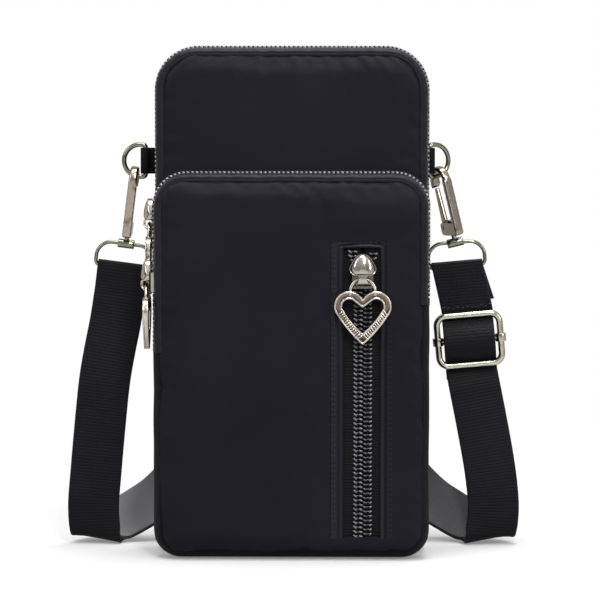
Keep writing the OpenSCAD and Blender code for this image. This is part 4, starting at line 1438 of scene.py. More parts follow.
def joined(pieces: list[Piece], name: str, painted_glints: Sequence[float] = (), sharp_deg: float = 180.0) -> Piece:
    """Joins mesh objects into one.

    Args:
        pieces: The objects, which are removed.
        name: The new object's name.
        painted_glints: How much painted highlight each of the objects carries, or nothing.
        sharp_deg: Edges that turn by more stay sharp.

    Returns:
        The new object.
    """
    work = bmesh.new()
    for piece in pieces:
        work.from_mesh(piece.data)
    mesh = bpy.data.meshes.new(name)
    work.to_mesh(mesh)
    work.free()
    mesh.materials.append(pieces[0].data.materials[0] if pieces[0].data.materials else None)
    sizes = [len(piece.data.vertices) for piece in pieces]
    for piece in pieces:
        bpy.data.objects.remove(piece)
    made = new_object(name, mesh)
    made.name = name
    # Painted highlight: each piece's share of the glint colour, stored in the tip mask.
    if painted_glints:
        mark(made, "tip", [tip for tip, size in zip(painted_glints, sizes) for _ in range(size)])
    mesh.shade_smooth()
    if sharp_deg < 180:
        mesh.set_sharp_from_angle(angle=math.radians(sharp_deg))
    return made


@dataclass
class GussetZip:
    """The two rows of teeth of a zip round a gusset, and its bar tacks."""

    rail: Rail
    zip_y: float
    prefix: str
    pitch: float = 1.68
    wire: float = 0.32
    knuckle: float = 0.44
    lean: float = 0.2
    tack_stitches: int = 7
    tack_pitch: float = 0.36
    tack_end: float = 0.6

    def _spots(self, offset: float, inset: float, phase: float) -> list[Spot]:
        """Spreads places along the zip at one pitch, shifted by a share of it."""
        steps = [k + phase + 0.5 for k in range(int(self.rail.length() / self.pitch) - 1)]
        return [self.rail.station(s * self.pitch).spot(self.zip_y + offset, inset) for s in steps]

    def _tacks(self) -> Piece:
        """Makes the bar tacks at both ends.

        Returns:
            The piece.
        """
        spots = []
        for s in (self.tack_end, self.rail.length() - self.tack_end):
            for k in range(self.tack_stitches):
                place = s + (k - self.tack_stitches // 2) * self.tack_pitch
                spots.append(self.rail.station(place).spot(self.zip_y, 0.15))
        sizes = {"reach": 4.2, "rise": 0.35, "radius": 0.2, "seat": -0.6}
        return Repeats.rods(f"{self.prefix}_bar_tacks", spots, Finishes.thread, **sizes)

    def build(self) -> None:
        """Builds both rows, with links between the heads and the turns, and the bar tacks."""
        for way, phase, node in ((-1.0, 0.0, "front"), (1.0, 0.5, "rear")):
            name = f"{self.prefix}_{node}_teeth"
            link, turn = {"lean": self.lean, "radius": self.wire}, {"lean": self.lean, "radius": self.knuckle}
            rows = (
                ("", 1.4, 0.9, {"reach": 1.3, "rise": 0.6, "seat": -0.2, **link}),
                ("_heads", 0.4, 0.42, {"reach": 0.3, "rise": 0.15, "radius": self.knuckle}),
                ("_turns", 2.6, 0.58, {"reach": 0.25, "rise": 0.15, **turn}),
            )
            pieces = [
                Repeats.rods(name + part, self._spots(way * offset, inset, phase), Finishes.coil, **sizes)
                for part, offset, inset, sizes in rows
            ]
            # Painted highlights: the turns glint most, those of the front row more than the rear row's.
            teeth = joined(pieces, name, painted_glints=(0.05, 0.12, 1.0 if way < 0 else 0.3))
            dress(teeth, Finishes.coil, f"{self.prefix}_coil_{node}")
        dress(self._tacks(), Finishes.thread)


@dataclass
class FrontZip:
    """The straight zip in the front face with its welt, tapes, teeth and stitches."""

    x: float = 26.5
    foot: float = 8.0
    top: float = 116.2
    left: float = 7.5
    right: float = 6.7
    welt_left: float = 4.4
    welt_right: float = 2.2
    welt_top: float = 2.0
    welt_corner: float = 0.9
    y_front: float = -26.0
    lift: float = 0.1
    slider_z: float = 109.3
    pitch: float = 1.68
    gap_half: float = 0.55
    chain_half: float = 3.0
    parting_half: float = 4.1
    steps: int = 44
    tape_steps: int = 50
    tape_depth: float = 1.8
    tape_t: float = 0.5
    coil_depth: float = 0.75
    stitch_pitch: float = 1.9
    lip: float = 2.0
    lip_profile: tuple[Flat, ...] = (
        (0.0, 1.05), (-0.25, 0.75), (-0.3, 0.3), (-0.05, -0.15), (0.35, -0.42), (0.8, -0.45),
        (1.2, -0.22), (1.5, 0.2), (1.75, 0.42), (2.0, 0.4),
    )
    welt_tail: tuple[Flat, ...] = ((0.3, -0.02), (0.65, -0.1), (1.0, 0.15))
    welt_back: tuple[Flat, ...] = ((1.0, 1.0), (0.6, 1.02), (0.25, 1.03))

    @property
    def window(self) -> Window:
        """The opening that the welt lies in."""
        x0, x1 = self.x - self.left - self.welt_left, self.x + self.right + self.welt_right
        return Window(x0, x1, self.foot, self.top + self.welt_top)

    @property
    def zip_y(self) -> float:
        """The depth that the zip's pieces are placed from."""
        return self.y_front - self.lift

    def _welt_ring(self, inner: Flat, outer: Flat) -> list[Point]:
        """Lays the welt's section between its two edges at one place.

        Args:
            inner: X and Z of the edge at the zip.
            outer: X and Z of the sewn edge.

        Returns:
            The points of the closed section.
        """
        (x0, z0), (x1, z1) = inner, outer
        wide = max(1e-6, math.hypot(x1 - x0, z1 - z0))
        lip = min(1.0, 0.92 * wide / self.lip)
        line = [(d * lip / wide, dip) for d, dip in self.lip_profile]
        line += [(blend(self.lip * lip / wide, 1.0, t), dip) for t, dip in self.welt_tail]
        ring = []
        for share, dip in line:
            x, z = blend(x0, x1, share), blend(z0, z1, share)
            wave = 0.1 * ripple(x * 0.7, z, 1.0, 7) if 0 < share < 1 else 0
            ring.append((x, self.y_front + dip + wave, z))
        for share, dip in self.welt_back:
            ring.append((blend(x0, x1, share), self.y_front + dip, blend(z0, z1, share)))
        return ring

    def _welt_edges(self) -> list[tuple[Flat, Flat]]:
        """Follows the welt up the left side, over the top and down the right side.

        Returns:
            X and Z of its inner and outer edge at each place.
        """
        w, c = self.window, self.welt_corner
        low = self.top - c

        def side(inner: float, outer: float, way: float) -> list[tuple[Flat, Flat]]:
            """One side from its foot round its corner."""
            levels = [blend(self.foot, low, i / self.steps) for i in range(self.steps + 1)]
            edges = [((inner, z), (outer, z)) for z in levels]
            for k in range(1, 5):
                a = math.radians(90 * k / 4)
                turn = (inner + way * c * (1 - math.cos(a)), low + c * math.sin(a))
                edges.append((turn, (outer, blend(low, w.z1, k / 4))))
            return edges

        left, right = side(self.x - self.left, w.x0, 1), side(self.x + self.right, w.x1, -1)
        x0, x1 = left[-1][0][0], right[-1][0][0]
        over = [((blend(x0, x1, s), self.top), (blend(w.x0, w.x1, s), w.z1)) for s in np.arange(1, 12) / 12]
        return left + over + right[::-1]

    def _welt(self) -> None:
        """Builds the turned edge that frames the zip: a folded band with rounded edges."""
        name = "front_zip_welt_cloth"
        rings = [self._welt_ring(*edge) for edge in self._welt_edges()]
        faces = shell_faces(len(rings), len(rings[0]))
        mesh = outward(mesh_from(name, [p for ring in rings for p in ring], faces, sharp_deg=55))
        dress(new_object(name, mesh), Finishes.welt, "front_zip_welt")

    def _tape(self, side: Side) -> None:
        """Builds a woven tape beside the teeth.

        Args:
            side: The side that it lies on.
        """
        y = self.zip_y + self.tape_depth
        near = self.x + side.sign * self.gap_half
        far = self.x + side.sign * (self.left + self.welt_left + 1.1)
        section = [(0.0, 0.0), (0.25, -0.12), (0.5, -0.1), (1.0, 0.0)]
        outline = [(blend(near, far, s), y + d) for s, d in section]
        outline += [(blend(near, far, s), y + self.tape_t) for s, _ in reversed(section)]
        levels = [blend(self.foot, self.window.z1, i / self.tape_steps) for i in range(self.tape_steps + 1)]
        rings = [[(px, py, z) for px, py in outline] for z in levels]
        wide = abs(far - near)
        across = [s * wide for s, _ in section]
        across += [2 * wide - a for a in reversed(across)] + [2 * wide]
        name = f"front_zip_tape_{side.value}"
        piece = new_object(name, shell_mesh(name, rings, levels, across))
        dress(piece, Finishes.tape, f"front_tape_{side.value}")

    def _parted(self, z: float) -> float:
        """Measures how far a half lies from the middle of the zip, which opens above the slider.

        Args:
            z: The height.

        Returns:
            The distance of its inner edge.
        """
        start, end = self.slider_z - 1, self.slider_z + 4.5
        wide = self.parting_half - self.chain_half / 2 - self.gap_half
        return self.gap_half + wide * smooth((z - start) / (end - start))

    def _teeth(self, side: Side) -> None:
        """Builds one half of the coil: heads at the middle, turns at the edge and links between.

        Args:
            side: The side that it lies on.
        """
        is_left = side is Side.LEFT
        y = self.zip_y + self.coil_depth
        head, turn = (0.07, 2.2) if is_left else (0.28, 2.42)
        slant = 0.42 if is_left else -0.2
        levels = [self.foot + (k + (0.5 if is_left else 1.0)) * self.pitch for k in range(100)]
        levels = [z for z in levels if z <= self.top - 0.9]
        name = f"front_zip_teeth_{side.value}"
        rows = (
            ("", 1.2, {"reach": 1.25, "rise": 0.15, "lean": slant * 0.6, "radius": 0.27, "seat": -0.25}),
            ("_heads", head, {
                "reach": 0.42, "rise": 0.6, "lean": 0.16, "radius": 0.38, "seat": 0.35 if is_left else 0.0,
            }),
            ("_turns", turn, {
                "reach": 0.5 if is_left else 0.26, "rise": 0.4, "lean": slant, "radius": 0.36, "seat": 0.05,
            }),
        )
        pieces = []
        for part, out, sizes in rows:
            places = [(self.x + side.sign * (self._parted(z) + out), y, z) for z in levels]
            spots = [Spot(place, (0, 0, 1), (0, -1, 0)) for place in places]
            pieces.append(Repeats.rods(name + part, spots, Finishes.front_coil, **sizes))
        # Painted highlights on the links, heads and turns, set apart for each side.
        piece = joined(pieces, name, painted_glints=(0.12, 1.0, 0.8) if is_left else (0.12, 0.4, 0.95))
        dress(piece, Finishes.front_coil, f"front_coil_{side.value}")

    def _stitches(self) -> None:
        """Builds the rows of stitches beside the welt and the row over its top."""
        w, out = self.window, (0, -1, 0)
        y = self.y_front - 0.02
        spots = []
        for x in (w.x0 + 0.55, w.x0 + 1.5, w.x1 + 0.5, w.x1 + 1.7):
            shift = 0.5 * ((x > self.x) + 0.4)
            sink = 0.03 if w.x0 < x < w.x1 else 0.14
            for k in range(int((w.z1 - self.foot) / self.stitch_pitch)):
                z = self.foot + (k + shift) * self.stitch_pitch
                spots.append(Spot((x, y - 0.1 + sink * 0.5, z), (1, 0, 0), out))
        for k in range(int((w.x1 - w.x0) / self.stitch_pitch)):
            x = w.x0 + 0.6 + (k + 0.5) * self.stitch_pitch
            spots.append(Spot((x, y - 0.05, w.z1 - 0.3), (0, 0, 1), out))
        sizes = {"reach": 0.62, "rise": 0.26, "radius": 0.2, "seat": -0.2}
        made = Repeats.rods("front_zip_stitches", spots, Finishes.thread, **sizes)
        dress(made, Finishes.thread)

    def build(self) -> None:
        """Builds the whole zip."""
        self._welt()
        for side in Side:
            self._tape(side)
            self._teeth(side)
        self._stitches()


@dataclass(frozen=True)
class Mount:
    """A place on the pouch that carries a slider or pull, and whether it looks out to the left."""

    origin: Point
    turned: bool = False

    def way(self, x: float, y: float, z: float) -> Point:
        """Turns the piece's own direction into one of the pouch."""
        return (y, -x, z) if self.turned else (x, y, z)

    def place(self, x: float, y: float, z: float) -> Point:
        """Turns the piece's own point into one of the pouch."""
        return tuple(o + d for o, d in zip(self.origin, self.way(x, y, z)))

    def moved(self, out: float, down: float) -> Mount:
        """A mount further out of the pouch and further down."""
        return Mount(self.place(0.0, -out, -down), self.turned)


@dataclass
class HeartPull:
    """A heart-shaped pull with two round rims, ticks on its sides and a loop."""

    zip_name: str
    hinge: Mount
    width: float = 21.2
    height: float = 20.0
    band: float = 3.0
    lobe_share: float = 0.472
    thick: float = 1.5
    rim: float = 0.38
    side_bow: float = 0.5
    loop_wire: float = 1.3
    loop_r: float = 4.65
    loop_rise: float = 5.4
    lobe_steps: int = 40
    loop_steps: int = 24
    ticks: int = 13
    bands: tuple[Point, ...] = (
        (0.12, 0.0, 0.0), (0.4, -0.05, 0.3), (0.9, -0.24, 1.0), (1.5, -0.28, 1.0),
        (2.1, -0.24, 1.0), (2.6, -0.05, 0.3), (2.88, 0.0, 0.0),
    )

    def __post_init__(self) -> None:
        """Works out the lobes' place and radius, the tip's depth and half its angle."""
        self.lobe_x = self.width / 2 * self.lobe_share
        self.lobe_r = self.width / 2 - self.lobe_x
        self.tip_z = self.height - self.lobe_r
        reach = math.hypot(self.lobe_x, self.tip_z)
        self.half = math.asin(self.lobe_r / reach) + math.atan2(self.lobe_x, self.tip_z)

    def _bow(self, share: float) -> Flat:
        """How far a straight side bows out at a share of its length, as X and Z."""
        bow = self.side_bow * math.sin(math.pi * share) ** 0.8
        return bow * math.cos(self.half), -(bow * math.sin(self.half))

    def outline(self, inset: float) -> list[Flat]:
        """The heart's outline drawn in by an inset, counter-clockwise from its tip.

        Args:
            inset: How far it is drawn in.

        Returns:
            Its points, the same number for every inset.
        """
        x, r, steps = self.lobe_x, self.lobe_r - inset, self.lobe_steps
        notch = math.sqrt(self.lobe_r ** 2 - x ** 2) - inset
        last = math.pi - math.atan2(notch, x) - math.acos(min(1.0, r / math.hypot(x, notch)))
        tip = (0.0, inset / math.sin(self.half) - self.tip_z)
        start = (x + r * math.cos(self.half), -r * math.sin(self.half))
        side = []
        for share in (k / 12 for k in range(12)):
            bow = self._bow(share)
            side.append(tuple(blend(a, b, share) + out for a, b, out in zip(tip, start, bow)))
        turns = [blend(-self.half, last, k / steps) for k in range(steps + 1)]
        side += [(x + r * math.cos(a), r * math.sin(a)) for a in turns]
        low = side[-1]
        side += [(blend(low[0], 0.0, k / 5), blend(low[1], notch, k / 5)) for k in range(1, 6)]
        return side + [(-x, z) for x, z in reversed(side[1:-1])]

    def _tube(self, line: list[Point], r: float, closed: bool, around: int = 8) -> tuple[list, list]:
        """Runs a round tube along a line of the pull's own points.

        Args:
            line: The line.
            r: The tube's radius.
            closed: Whether the line runs back into its start.
            around: Points round the tube.

        Returns:
            Its points and faces.
        """
        points, n, up = [], len(line), vec(0, 1, 0)
        for i, p in enumerate(line):
            a = line[(i - 1) % n] if closed or i > 0 else line[i]
            b = line[(i + 1) % n] if closed or i < n - 1 else line[i]
            side = unit(np.cross(unit(vec(*b) - vec(*a)), up))
            for j in range(around):
                c, s = math.cos(2 * math.pi * j / around), math.sin(2 * math.pi * j / around)
                points.append(tuple(vec(*p) + side * (r * c) + up * (r * s)))
        return points, shell_faces(n, around, closed)

    def _heart(self) -> tuple[list[Point], list, list[float]]:
        """Builds the flat heart between its rims, front and back.

        Returns:
            Its points, its faces and how deep in the recess each point lies.
        """
        points, low = [], []
        for face in (-1, 1):
            for inset, dip, deep in self.bands:
                ring = self.outline(inset)
                points += [(x, face * (self.thick / 2 + dip), z) for x, z in ring]
                low += [deep * (0.85 if z > -1.5 else 1.0) for _, z in ring]
        m = len(self.bands)
        n = len(points) // (2 * m)
        faces = []
        for f in (0, m):
            for r in range(f, f + m - 1):
                faces += ring_quads(r * n, (r + 1) * n, n)
        for r in (0, m - 1):
            faces += ring_quads(r * n, (m + r) * n, n)
        return points, faces, low

    def _ticks(self, name: str) -> Piece:
        """Sets plain ticks along the straight sides, front and back.

        Args:
            name: The object's name.

        Returns:
            The object.
        """
        tip = vec(0, self.band / 2 / math.sin(self.half) - self.tip_z)
        reach = self.lobe_r - self.band / 2
        shoulder = vec(self.lobe_x + reach * math.cos(self.half), -reach * math.sin(self.half))
        run = unit(shoulder - tip)
        spots = []
        for side in (-1, 1):
            for face in (-1, 1):
                for k in range(self.ticks):
                    share = blend(0.1, 1.02, k / (self.ticks - 1))
                    p = blend(tip, shoulder, share) + vec(*self._bow(min(1.0, share)))
                    place = self._place(side * p[0], face * (self.thick / 2 - 0.2), p[1])
                    along, out = self.hinge.way(side * run[0], 0.0, run[1]), self.hinge.way(0.0, face, 0.0)
                    spots.append(Spot(place, along, out))
        sizes = {"reach": 0.85, "rise": 0.42, "lean": 0.12, "radius": 0.23, "seat": 0.02}
        return Repeats.rods(name, spots, Finishes.pull, **sizes)

    def _place(self, x: float, y: float, z: float) -> Point:
        """Turns a point of the heart, which hangs below the hinge, into one of the pouch."""
        return self.hinge.place(x, y, z - self.loop_rise - self.loop_r)

    def build(self) -> None:
        """Builds the pull."""
        points, faces, low = self._heart()
        shells = [(points, faces)]
        for inset in (self.rim, self.band - self.rim):
            for y in (-1, 1):
                line = [(x, y * (self.thick / 2 - 0.02), z) for x, z in self.outline(inset)]
                shells.append(self._tube(line, self.rim, True))
        r, foot = self.loop_r, self.lobe_r - 1.6
        turns = [math.pi * k / self.loop_steps for k in range(self.loop_steps + 1)]
        bend = [(r * math.cos(a), 0.0, self.loop_rise + r * math.sin(a)) for a in turns]
        shells.append(self._tube([(r, 0.0, foot), *bend, (-r, 0.0, foot)], self.loop_wire / 2, False))
        points, faces = [], []
        for pts, fcs in shells:
            faces += [tuple(len(points) + i for i in f) for f in fcs]
            points += [self._place(*p) for p in pts]
        name, node = f"{self.zip_name}_heart_casting", f"{self.zip_name}_heart_pull"
        casting = new_object(name, outward(mesh_from(name, points, faces, sharp_deg=50)))
        piece = joined([casting, self._ticks(name + "_ticks")], name, sharp_deg=60)
        mark(piece, "recess", low + [0.0] * (len(piece.data.vertices) - len(low)))
        dress(piece, Finishes.pull, node)


@dataclass
class Slider:
    """A zip slider: plates, flanges, a domed crown with a bright rim, and a flared bridge."""

    zip_name: str
    mount: Mount
    plate_y: float = -1.2
    plate_t: float = 0.9
    plate_recess: float = 0.85
    back_y: float = 2.6
    back_t: float = 0.8
    down: float = 8.2
    half: float = 3.9
    flange_t: float = 0.6
    web_half: float = 0.1
    crown_h: float = 3.1
    dome_r: float = 6.4
    long_r: float = 15.0
    crown_half: float = 5.2
    nose: float = 4.9
    bridge_edge: float = 0.18
    crown_rings: tuple[tuple, ...] = (
        (1.0, None, 0.0), (1.0, -0.4, 0.0), (0.985, -0.1, 0.0), (0.95, 0.04, 0.0), (0.915, -0.05, 0.1),
        (0.885, -0.26, 1.0), (0.85, -0.22, 0.9), (0.8, 0.0, 0.0), (0.7, 0.1, 0.0), (0.55, 0.12, 0.0),
        (0.38, 0.12, 0.0), (0.2, 0.12, 0.0), (0.06, 0.12, 0.0),
    )
    bridge: tuple[tuple[float, ...], ...] = (
        (-3.2, -2.4, -3.0, -2.9, 2.6), (-4.15, -3.0, -3.55, -3.15, 2.0), (-4.35, -3.9, -3.55, -3.9, 1.7),
        (-4.35, -5.0, -3.55, -4.9, 1.75), (-4.0, -5.9, -3.4, -5.5, 2.1), (-3.2, -6.7, -2.8, -5.95, 2.6),
        (-2.2, -7.2, -2.0, -6.15, 2.95), (-1.1, -7.4, -1.1, -6.2, 3.05),
    )

    def __post_init__(self) -> None:
        """Starts the lists that the parts are added to."""
        self.points: list[Point] = []
        self.faces: list[tuple[int, ...]] = []
        self.low: list[float] = []

    def _rings(self, rings: list[list[Point]], low: Sequence[float]) -> None:
        """Adds a closed shell through rings of points, with flat ends.

        Args:
            rings: The rings.
            low: How deep in the recess each of them lies.
        """
        base = len(self.points)
        for ring, deep in zip(rings, low):
            self.points += ring
            self.low += [deep] * len(ring)
        self.faces += [tuple(base + i for i in f) for f in shell_faces(len(rings), len(rings[0]))]

    def _slab(self, outline: list[Flat], y0: float, y1: float, edge: float = 0.15, deep: float = 0.0) -> None:
        """Adds a plate with rounded edges.

        Args:
            outline: Its outline as X and Z.
            y0: Depth of its front.
            y1: Depth of its back.
            edge: How far its edges are rounded.
            deep: How deep in the recess it lies.
        """
        cx = sum(x for x, _ in outline) / len(outline)
        cz = sum(z for _, z in outline) / len(outline)
        wide = max(abs(x - cx) for x, _ in outline)
        tall = max(abs(z - cz) for _, z in outline)
        rings = []
        for y, e in ((y0, edge), (y0 + edge * 0.3, edge * 0.3), (y0 + edge, 0), (y1 - edge, 0), (y1, edge)):
            kx, kz = 1 - e / wide, 1 - e / tall
            rings.append([(cx + (x - cx) * kx, y, cz + (z - cz) * kz) for x, z in outline])
        self._rings(rings, [deep] * len(rings))

    def _height(self, x: float, z: float) -> float:
        """Measures how far the crown stands above its plate."""
        across = self.dome_r - math.sqrt(max(0.1, self.dome_r ** 2 - min(abs(x), 6.0) ** 2))
        return max(0.4, self.crown_h - across - (z + 2.1) ** 2 / (2 * self.long_r))

    def _crown(self) -> None:
        """Adds the domed crown with a groove inside its rim."""
        half = [(0.0, self.nose), (1.7, self.nose - 0.45), (3.0, 3.3), (4.15, 1.5), (5.0, -0.2)]
        half += [(self.crown_half, -1.2), (4.75, -2.15), (3.7, -3.15), (2.6, -3.2)]
        right = [tuple(q) for q in spline(half, 4)]
        outline = right + [(-x, z) for x, z in reversed(right[1:])]
        rings = []
        for scale, lift, _ in self.crown_rings:
            ring = []
            for x, z in outline:
                sx, sz = x * scale, 0.3 + (z - 0.3) * scale
                top = self.plate_y + 0.2 if lift is None else self.plate_y - self._height(sx, sz) - lift
                ring.append((sx, top, sz))
            rings.append(ring)
        self._rings(rings, [deep for _, _, deep in self.crown_rings])

    def _bridge(self) -> None:
        """Adds the flared bridge that the pull's loop passes under."""
        rings = []
        for ya, za, yb, zb, h in self.bridge:
            e, y, z = self.bridge_edge, blend(ya, yb, 0.3), blend(za, zb, 0.3)
            front, back = [(-h + e, ya, za), (h - e, ya, za)], [(h, yb, zb), (-h, yb, zb)]
            rings.append([*front, (h, y, z), *back, (-h, y, z)])
        self._rings(rings, [0.0] * len(rings))

    def build(self) -> None:
        """Builds the slider."""
        h, low = self.half, -self.down
        body = [(-h, low + 0.5), (-h + 0.5, low), (h - 0.5, low), (h, low + 0.5), (h, 0.2)]
        body += [(2.4, 3.6), (1.6, 3.9), (-1.6, 3.9), (-2.4, 3.6), (-h, 0.2)]
        self._slab(body, self.plate_y, self.plate_y + self.plate_t, deep=self.plate_recess)
        self._slab(body, self.back_y, self.back_y + self.back_t)
        for side in (-1, 1):
            x0, x1 = side * (h - self.flange_t), side * h
            flange = [(x0, low + 1), (x1, low + 1), (x1, 0.0), (x0, 0.0)]
            self._slab(flange, self.plate_y + 0.1, self.plate_y + 2.5, 0.08)
        x = self.web_half
        web = [(-x, 0.7), (x, 0.7), (x, 3.9), (-x, 3.9)]
        self._slab(web, self.plate_y + 0.1, self.back_y + 0.2, 0.04)
        self._crown()
        self._bridge()
        name = f"{self.zip_name}_slider_casting"
        points = [self.mount.place(*q) for q in self.points]
        piece = new_object(name, outward(mesh_from(name, points, self.faces, sharp_deg=38)))
        mark(piece, "recess", self.low)
        dress(piece, Finishes.slider, f"{self.zip_name}_slider")


@dataclass
class Strap:
    """The webbing, as one length from the sewn right fold to the buckle bar."""

    width: float = 19.5
    thick: float = 1.0
    lay_gap: float = 0.1
    span: float = 51.5
    ring_wire: float = 1.4
    ring_lift: float = 0.75
    ring_tail: float = 13.0
    tail_shift: float = 3.3
    bar_tail: float = 15.0
    arch_h: float = 115.0
    arch_out: float = 13.4
    crown_share: float = 0.85
    foot_left: Point = (64.480, 11.576, 105.567)
    foot_right: Point = (62.550, 13.769, 106.032)
    lean: Flat = (7.4, 5.0)
    leg_bow: tuple[Point, Point] = ((2.0, 95.0, 35.0), (2.5, 66.0, 40.0))
    leg_levels: tuple[float, ...] = (62.0, 45.0, 28.0, 14.0)
    buckle_tilt: float = 5.0
    buckle_wire: float = 2.5
    buckle_h: float = 21.5
    buckle_gap: float = 0.4
    bar_d: float = 2.2
    fold_steps: int = 6
    seam_z: float = 93.6
    seam_stitches: int = 11
    outer_face_y: float = 20.0
    # Painted sheen on the right leg's inner face, weaker than on the left because that side lies in more
    # shade.
    right_sheen_share: float = 0.32
    rear: tuple = (
        (1.465, 0.029, 0.112, (0.99, 0.12, 0.14)),
        (1.43, 0.022, 0.485, (0.92, 0.35, 0.19)),
        (1.345, 0.05, 0.821, (0.82, 0.5, 0.28)),
        (1.19, 0.09, 0.955, (0.7, 0.56, 0.44)),
        (1.0, 0.147, 1.0, (0.6, 0.56, 0.56)),
        (0.777, 0.25, 1.0, (0.66, 0.32, 0.68)),
        (0.563, 0.415, 0.97, (0.75, -0.2, 0.6)),
        (0.398, 0.652, 0.925, (0.62, -0.68, 0.38)),
        (0.23, 0.88, 0.866, (0.35, -0.92, 0.15)),
    )

    def __post_init__(self) -> None:
        """Works out the places of both folds and the ways up and across each ring and the buckle."""
        self.feet = [vec(*self.foot_left), vec(*self.foot_right)]
        self.up = [self._tilted(a)[0] for a in self.lean]
        self.across = [self._tilted(a)[1] for a in self.lean]
        self.buckle_up, self.buckle_across = self._tilted(self.buckle_tilt)
        self.weave_back = self.buckle_wire / 2 + self.buckle_gap + self.thick / 2

    @staticmethod
    def _tilted(degrees: float) -> tuple[np.ndarray, np.ndarray]:
        """The ways up and across a piece of hardware that leans."""
        a = math.radians(degrees)
        return vec(-math.sin(a), 0, math.cos(a)), vec(math.cos(a), 0, math.sin(a))

    @staticmethod
    def _mirror(v: np.ndarray) -> np.ndarray:
        """The vector mirrored to the other side."""
        return vec(-v[0], v[1], v[2])

    def _turn(self, centre: np.ndarray, up: np.ndarray, r: float) -> list[np.ndarray]:
        """Makes a half turn over a bar, from its front to its back."""
        turns = [math.pi * i / self.fold_steps for i in range(self.fold_steps + 1)]
        return [centre + r * (up * math.sin(a) + vec(0, -math.cos(a), 0)) for a in turns]

    @staticmethod
    def travel(p: list[np.ndarray], i: int) -> np.ndarray:
        """The direction of a line at one of its points."""
        return unit(p[min(len(p) - 1, i + 1)] - p[max(0, i - 1)])

    def _layer(self, points: list, widths: list, offset: float) -> list[np.ndarray]:
        """The line moved to one face of the pair of layers."""
        return [q + offset * unit(np.cross(self.travel(points, i), widths[i])) for i, q in enumerate(points)]

    def buckle_point(self, y: float, z: float) -> np.ndarray:
        """A point behind or in front of the buckle, up or down from its bar."""
        at = self.feet[1] + vec(4.6, -self.weave_back - (self.thick / 2 + self.lay_gap / 2), -27.5)
        return at + vec(0, y, 0) + z * self.buckle_up

    def _leg_x(self, z: float, side: int) -> float:
        """Finds how far out a leg lies beside the pouch.

        Args:
            z: The height.
            side: 0 for the left leg and 1 for the right one.

        Returns:
            Its distance from the middle of the pouch.
        """
        reach, top, fall = self.leg_bow[side]
        foot = self.feet[side]
        straight = blend(foot[0], self.span * 1.455, 1 - (z / foot[2]) ** 1.35)
        return straight + reach * smooth((top - z) / fall)

    def _free_run(self) -> tuple[list[np.ndarray], list[np.ndarray]]:
        """Leads the double webbing down the right leg, behind the pouch and up the left leg.

        Returns:
            The middle of the two layers and the direction across them.
        """
        strap_y = self.feet[0][1]
        legs = [
            [(vec(self._leg_x(z, side), strap_y, z), vec(1, 0, 0.09)) for z in self.leg_levels]
            for side in (0, 1)
        ]
        rear = []
        for sx, sz, sy, across in self.rear:
            w = unit(vec(*across))
            z = max(1.6 + self.width / 2 * w[2], sz * self.arch_h)
            rear.append((vec(sx * self.span, strap_y + sy * self.arch_out, z), w))
        route = legs[1] + rear
        route.append((vec(0, strap_y + self.crown_share * self.arch_out, self.arch_h), vec(0, -1, 0)))
        route += [(self._mirror(p), self._mirror(w)) for p, w in reversed(legs[0] + rear)]
        for share in (0.33, 0.66):
            z = blend(self.leg_levels[0], self.feet[0][2] - 8, share)
            route.append((vec(-self._leg_x(z, 0), strap_y, z), vec(-1, 0, 0.09)))
        route.append((self._mirror(self.feet[0] - 8 * self.up[0]), self._mirror(self.across[0])))
        return spline([p for p, _ in route], 3), [unit(w) for w in spline([w for _, w in route], 3)]

    def centre_line(self) -> tuple[list[np.ndarray], list[np.ndarray]]:
        """Follows the webbing from the right fold through the buckle, round and back to its bar.

        Returns:
            Its middle and the direction across it, as two lists of the same length.
        """
        t, gap, bp = self.thick, self.lay_gap, self.buckle_point
        weave_h = (self.buckle_h - self.buckle_wire) / 2
        weave_back, weave_front = self.weave_back, self.bar_d / 2 + 3 * gap + 1.5 * t
        points, widths = self._free_run()
        fold_r = self.ring_wire / 2 + gap + t / 2
        lift = self.ring_lift - gap
        left_bar = self._mirror(self.feet[0] + lift * self.up[0])
        left_fold = self._turn(left_bar, self._mirror(self.up[0]), fold_r)
        right_fold = self._turn(self.feet[1] + lift * self.up[1], self.up[1], fold_r)
        right_part = [self.feet[1] + vec(self.tail_shift, fold_r, 0) - self.ring_tail * self.up[1]]
        right_part += list(reversed(right_fold))
        weave = (
            (weave_back, weave_h + 2.8), (weave_back, weave_h - t / 2), (-weave_front * 0.6, weave_h * 0.42),
            (-weave_front, 0), (-weave_front * 0.6, -weave_h * 0.42), (weave_back, t / 2 - weave_h),
            (weave_back, -weave_h - 2.8),
        )
        right_part += [bp(y, z) for y, z in weave]
        right_widths = [self.across[1]] * (self.fold_steps + 2) + [self.buckle_across] * len(weave)
        wrap_r = self.bar_d / 2 + gap + t / 2
        under = weave_back + t + gap
        last = weave_back + 2 * (t + gap)
        bar_part = [bp(under, -weave_h - 2.8), bp(under, -weave_h + t), bp(-wrap_r * 0.5, -weave_h * 0.42)]
        bar_part += self._turn(bp(0, 0), self.buckle_up, wrap_r)
        bar_part += [bp(wrap_r + gap, -weave_h * 0.42), bp(last, -weave_h), bp(last, -self.bar_tail)]
        half_layers = t / 2 + gap / 2
        line = spline(right_part, 2) + self._layer(points, widths, half_layers) + left_fold
        line += list(reversed(self._layer(points, widths, -half_layers))) + spline(bar_part, 2)
        across = spline(right_widths, 2) + widths + [self._mirror(self.across[0])] * len(left_fold)
        across += list(reversed(widths)) + [self.buckle_across] * (2 * (len(bar_part) - 1) + 1)
        return line, across

    def _lean_sheen(self, q: np.ndarray) -> float:
        """Measures how much painted sheen the outer face gets where the leg leans to the light.

        Args:
            q: A point of the webbing.

        Returns:
            The share of the painted sheen colour.
        """
        if q[1] > self.outer_face_y:
            return 0.0
        low, high, share = (62.0, 84.0, 0.014) if q[0] < 0 else (26.0, 62.0, 0.012)
        return share * smooth((q[2] - low) / 14 + 0.5) * smooth((high - q[2]) / 14 + 0.5)

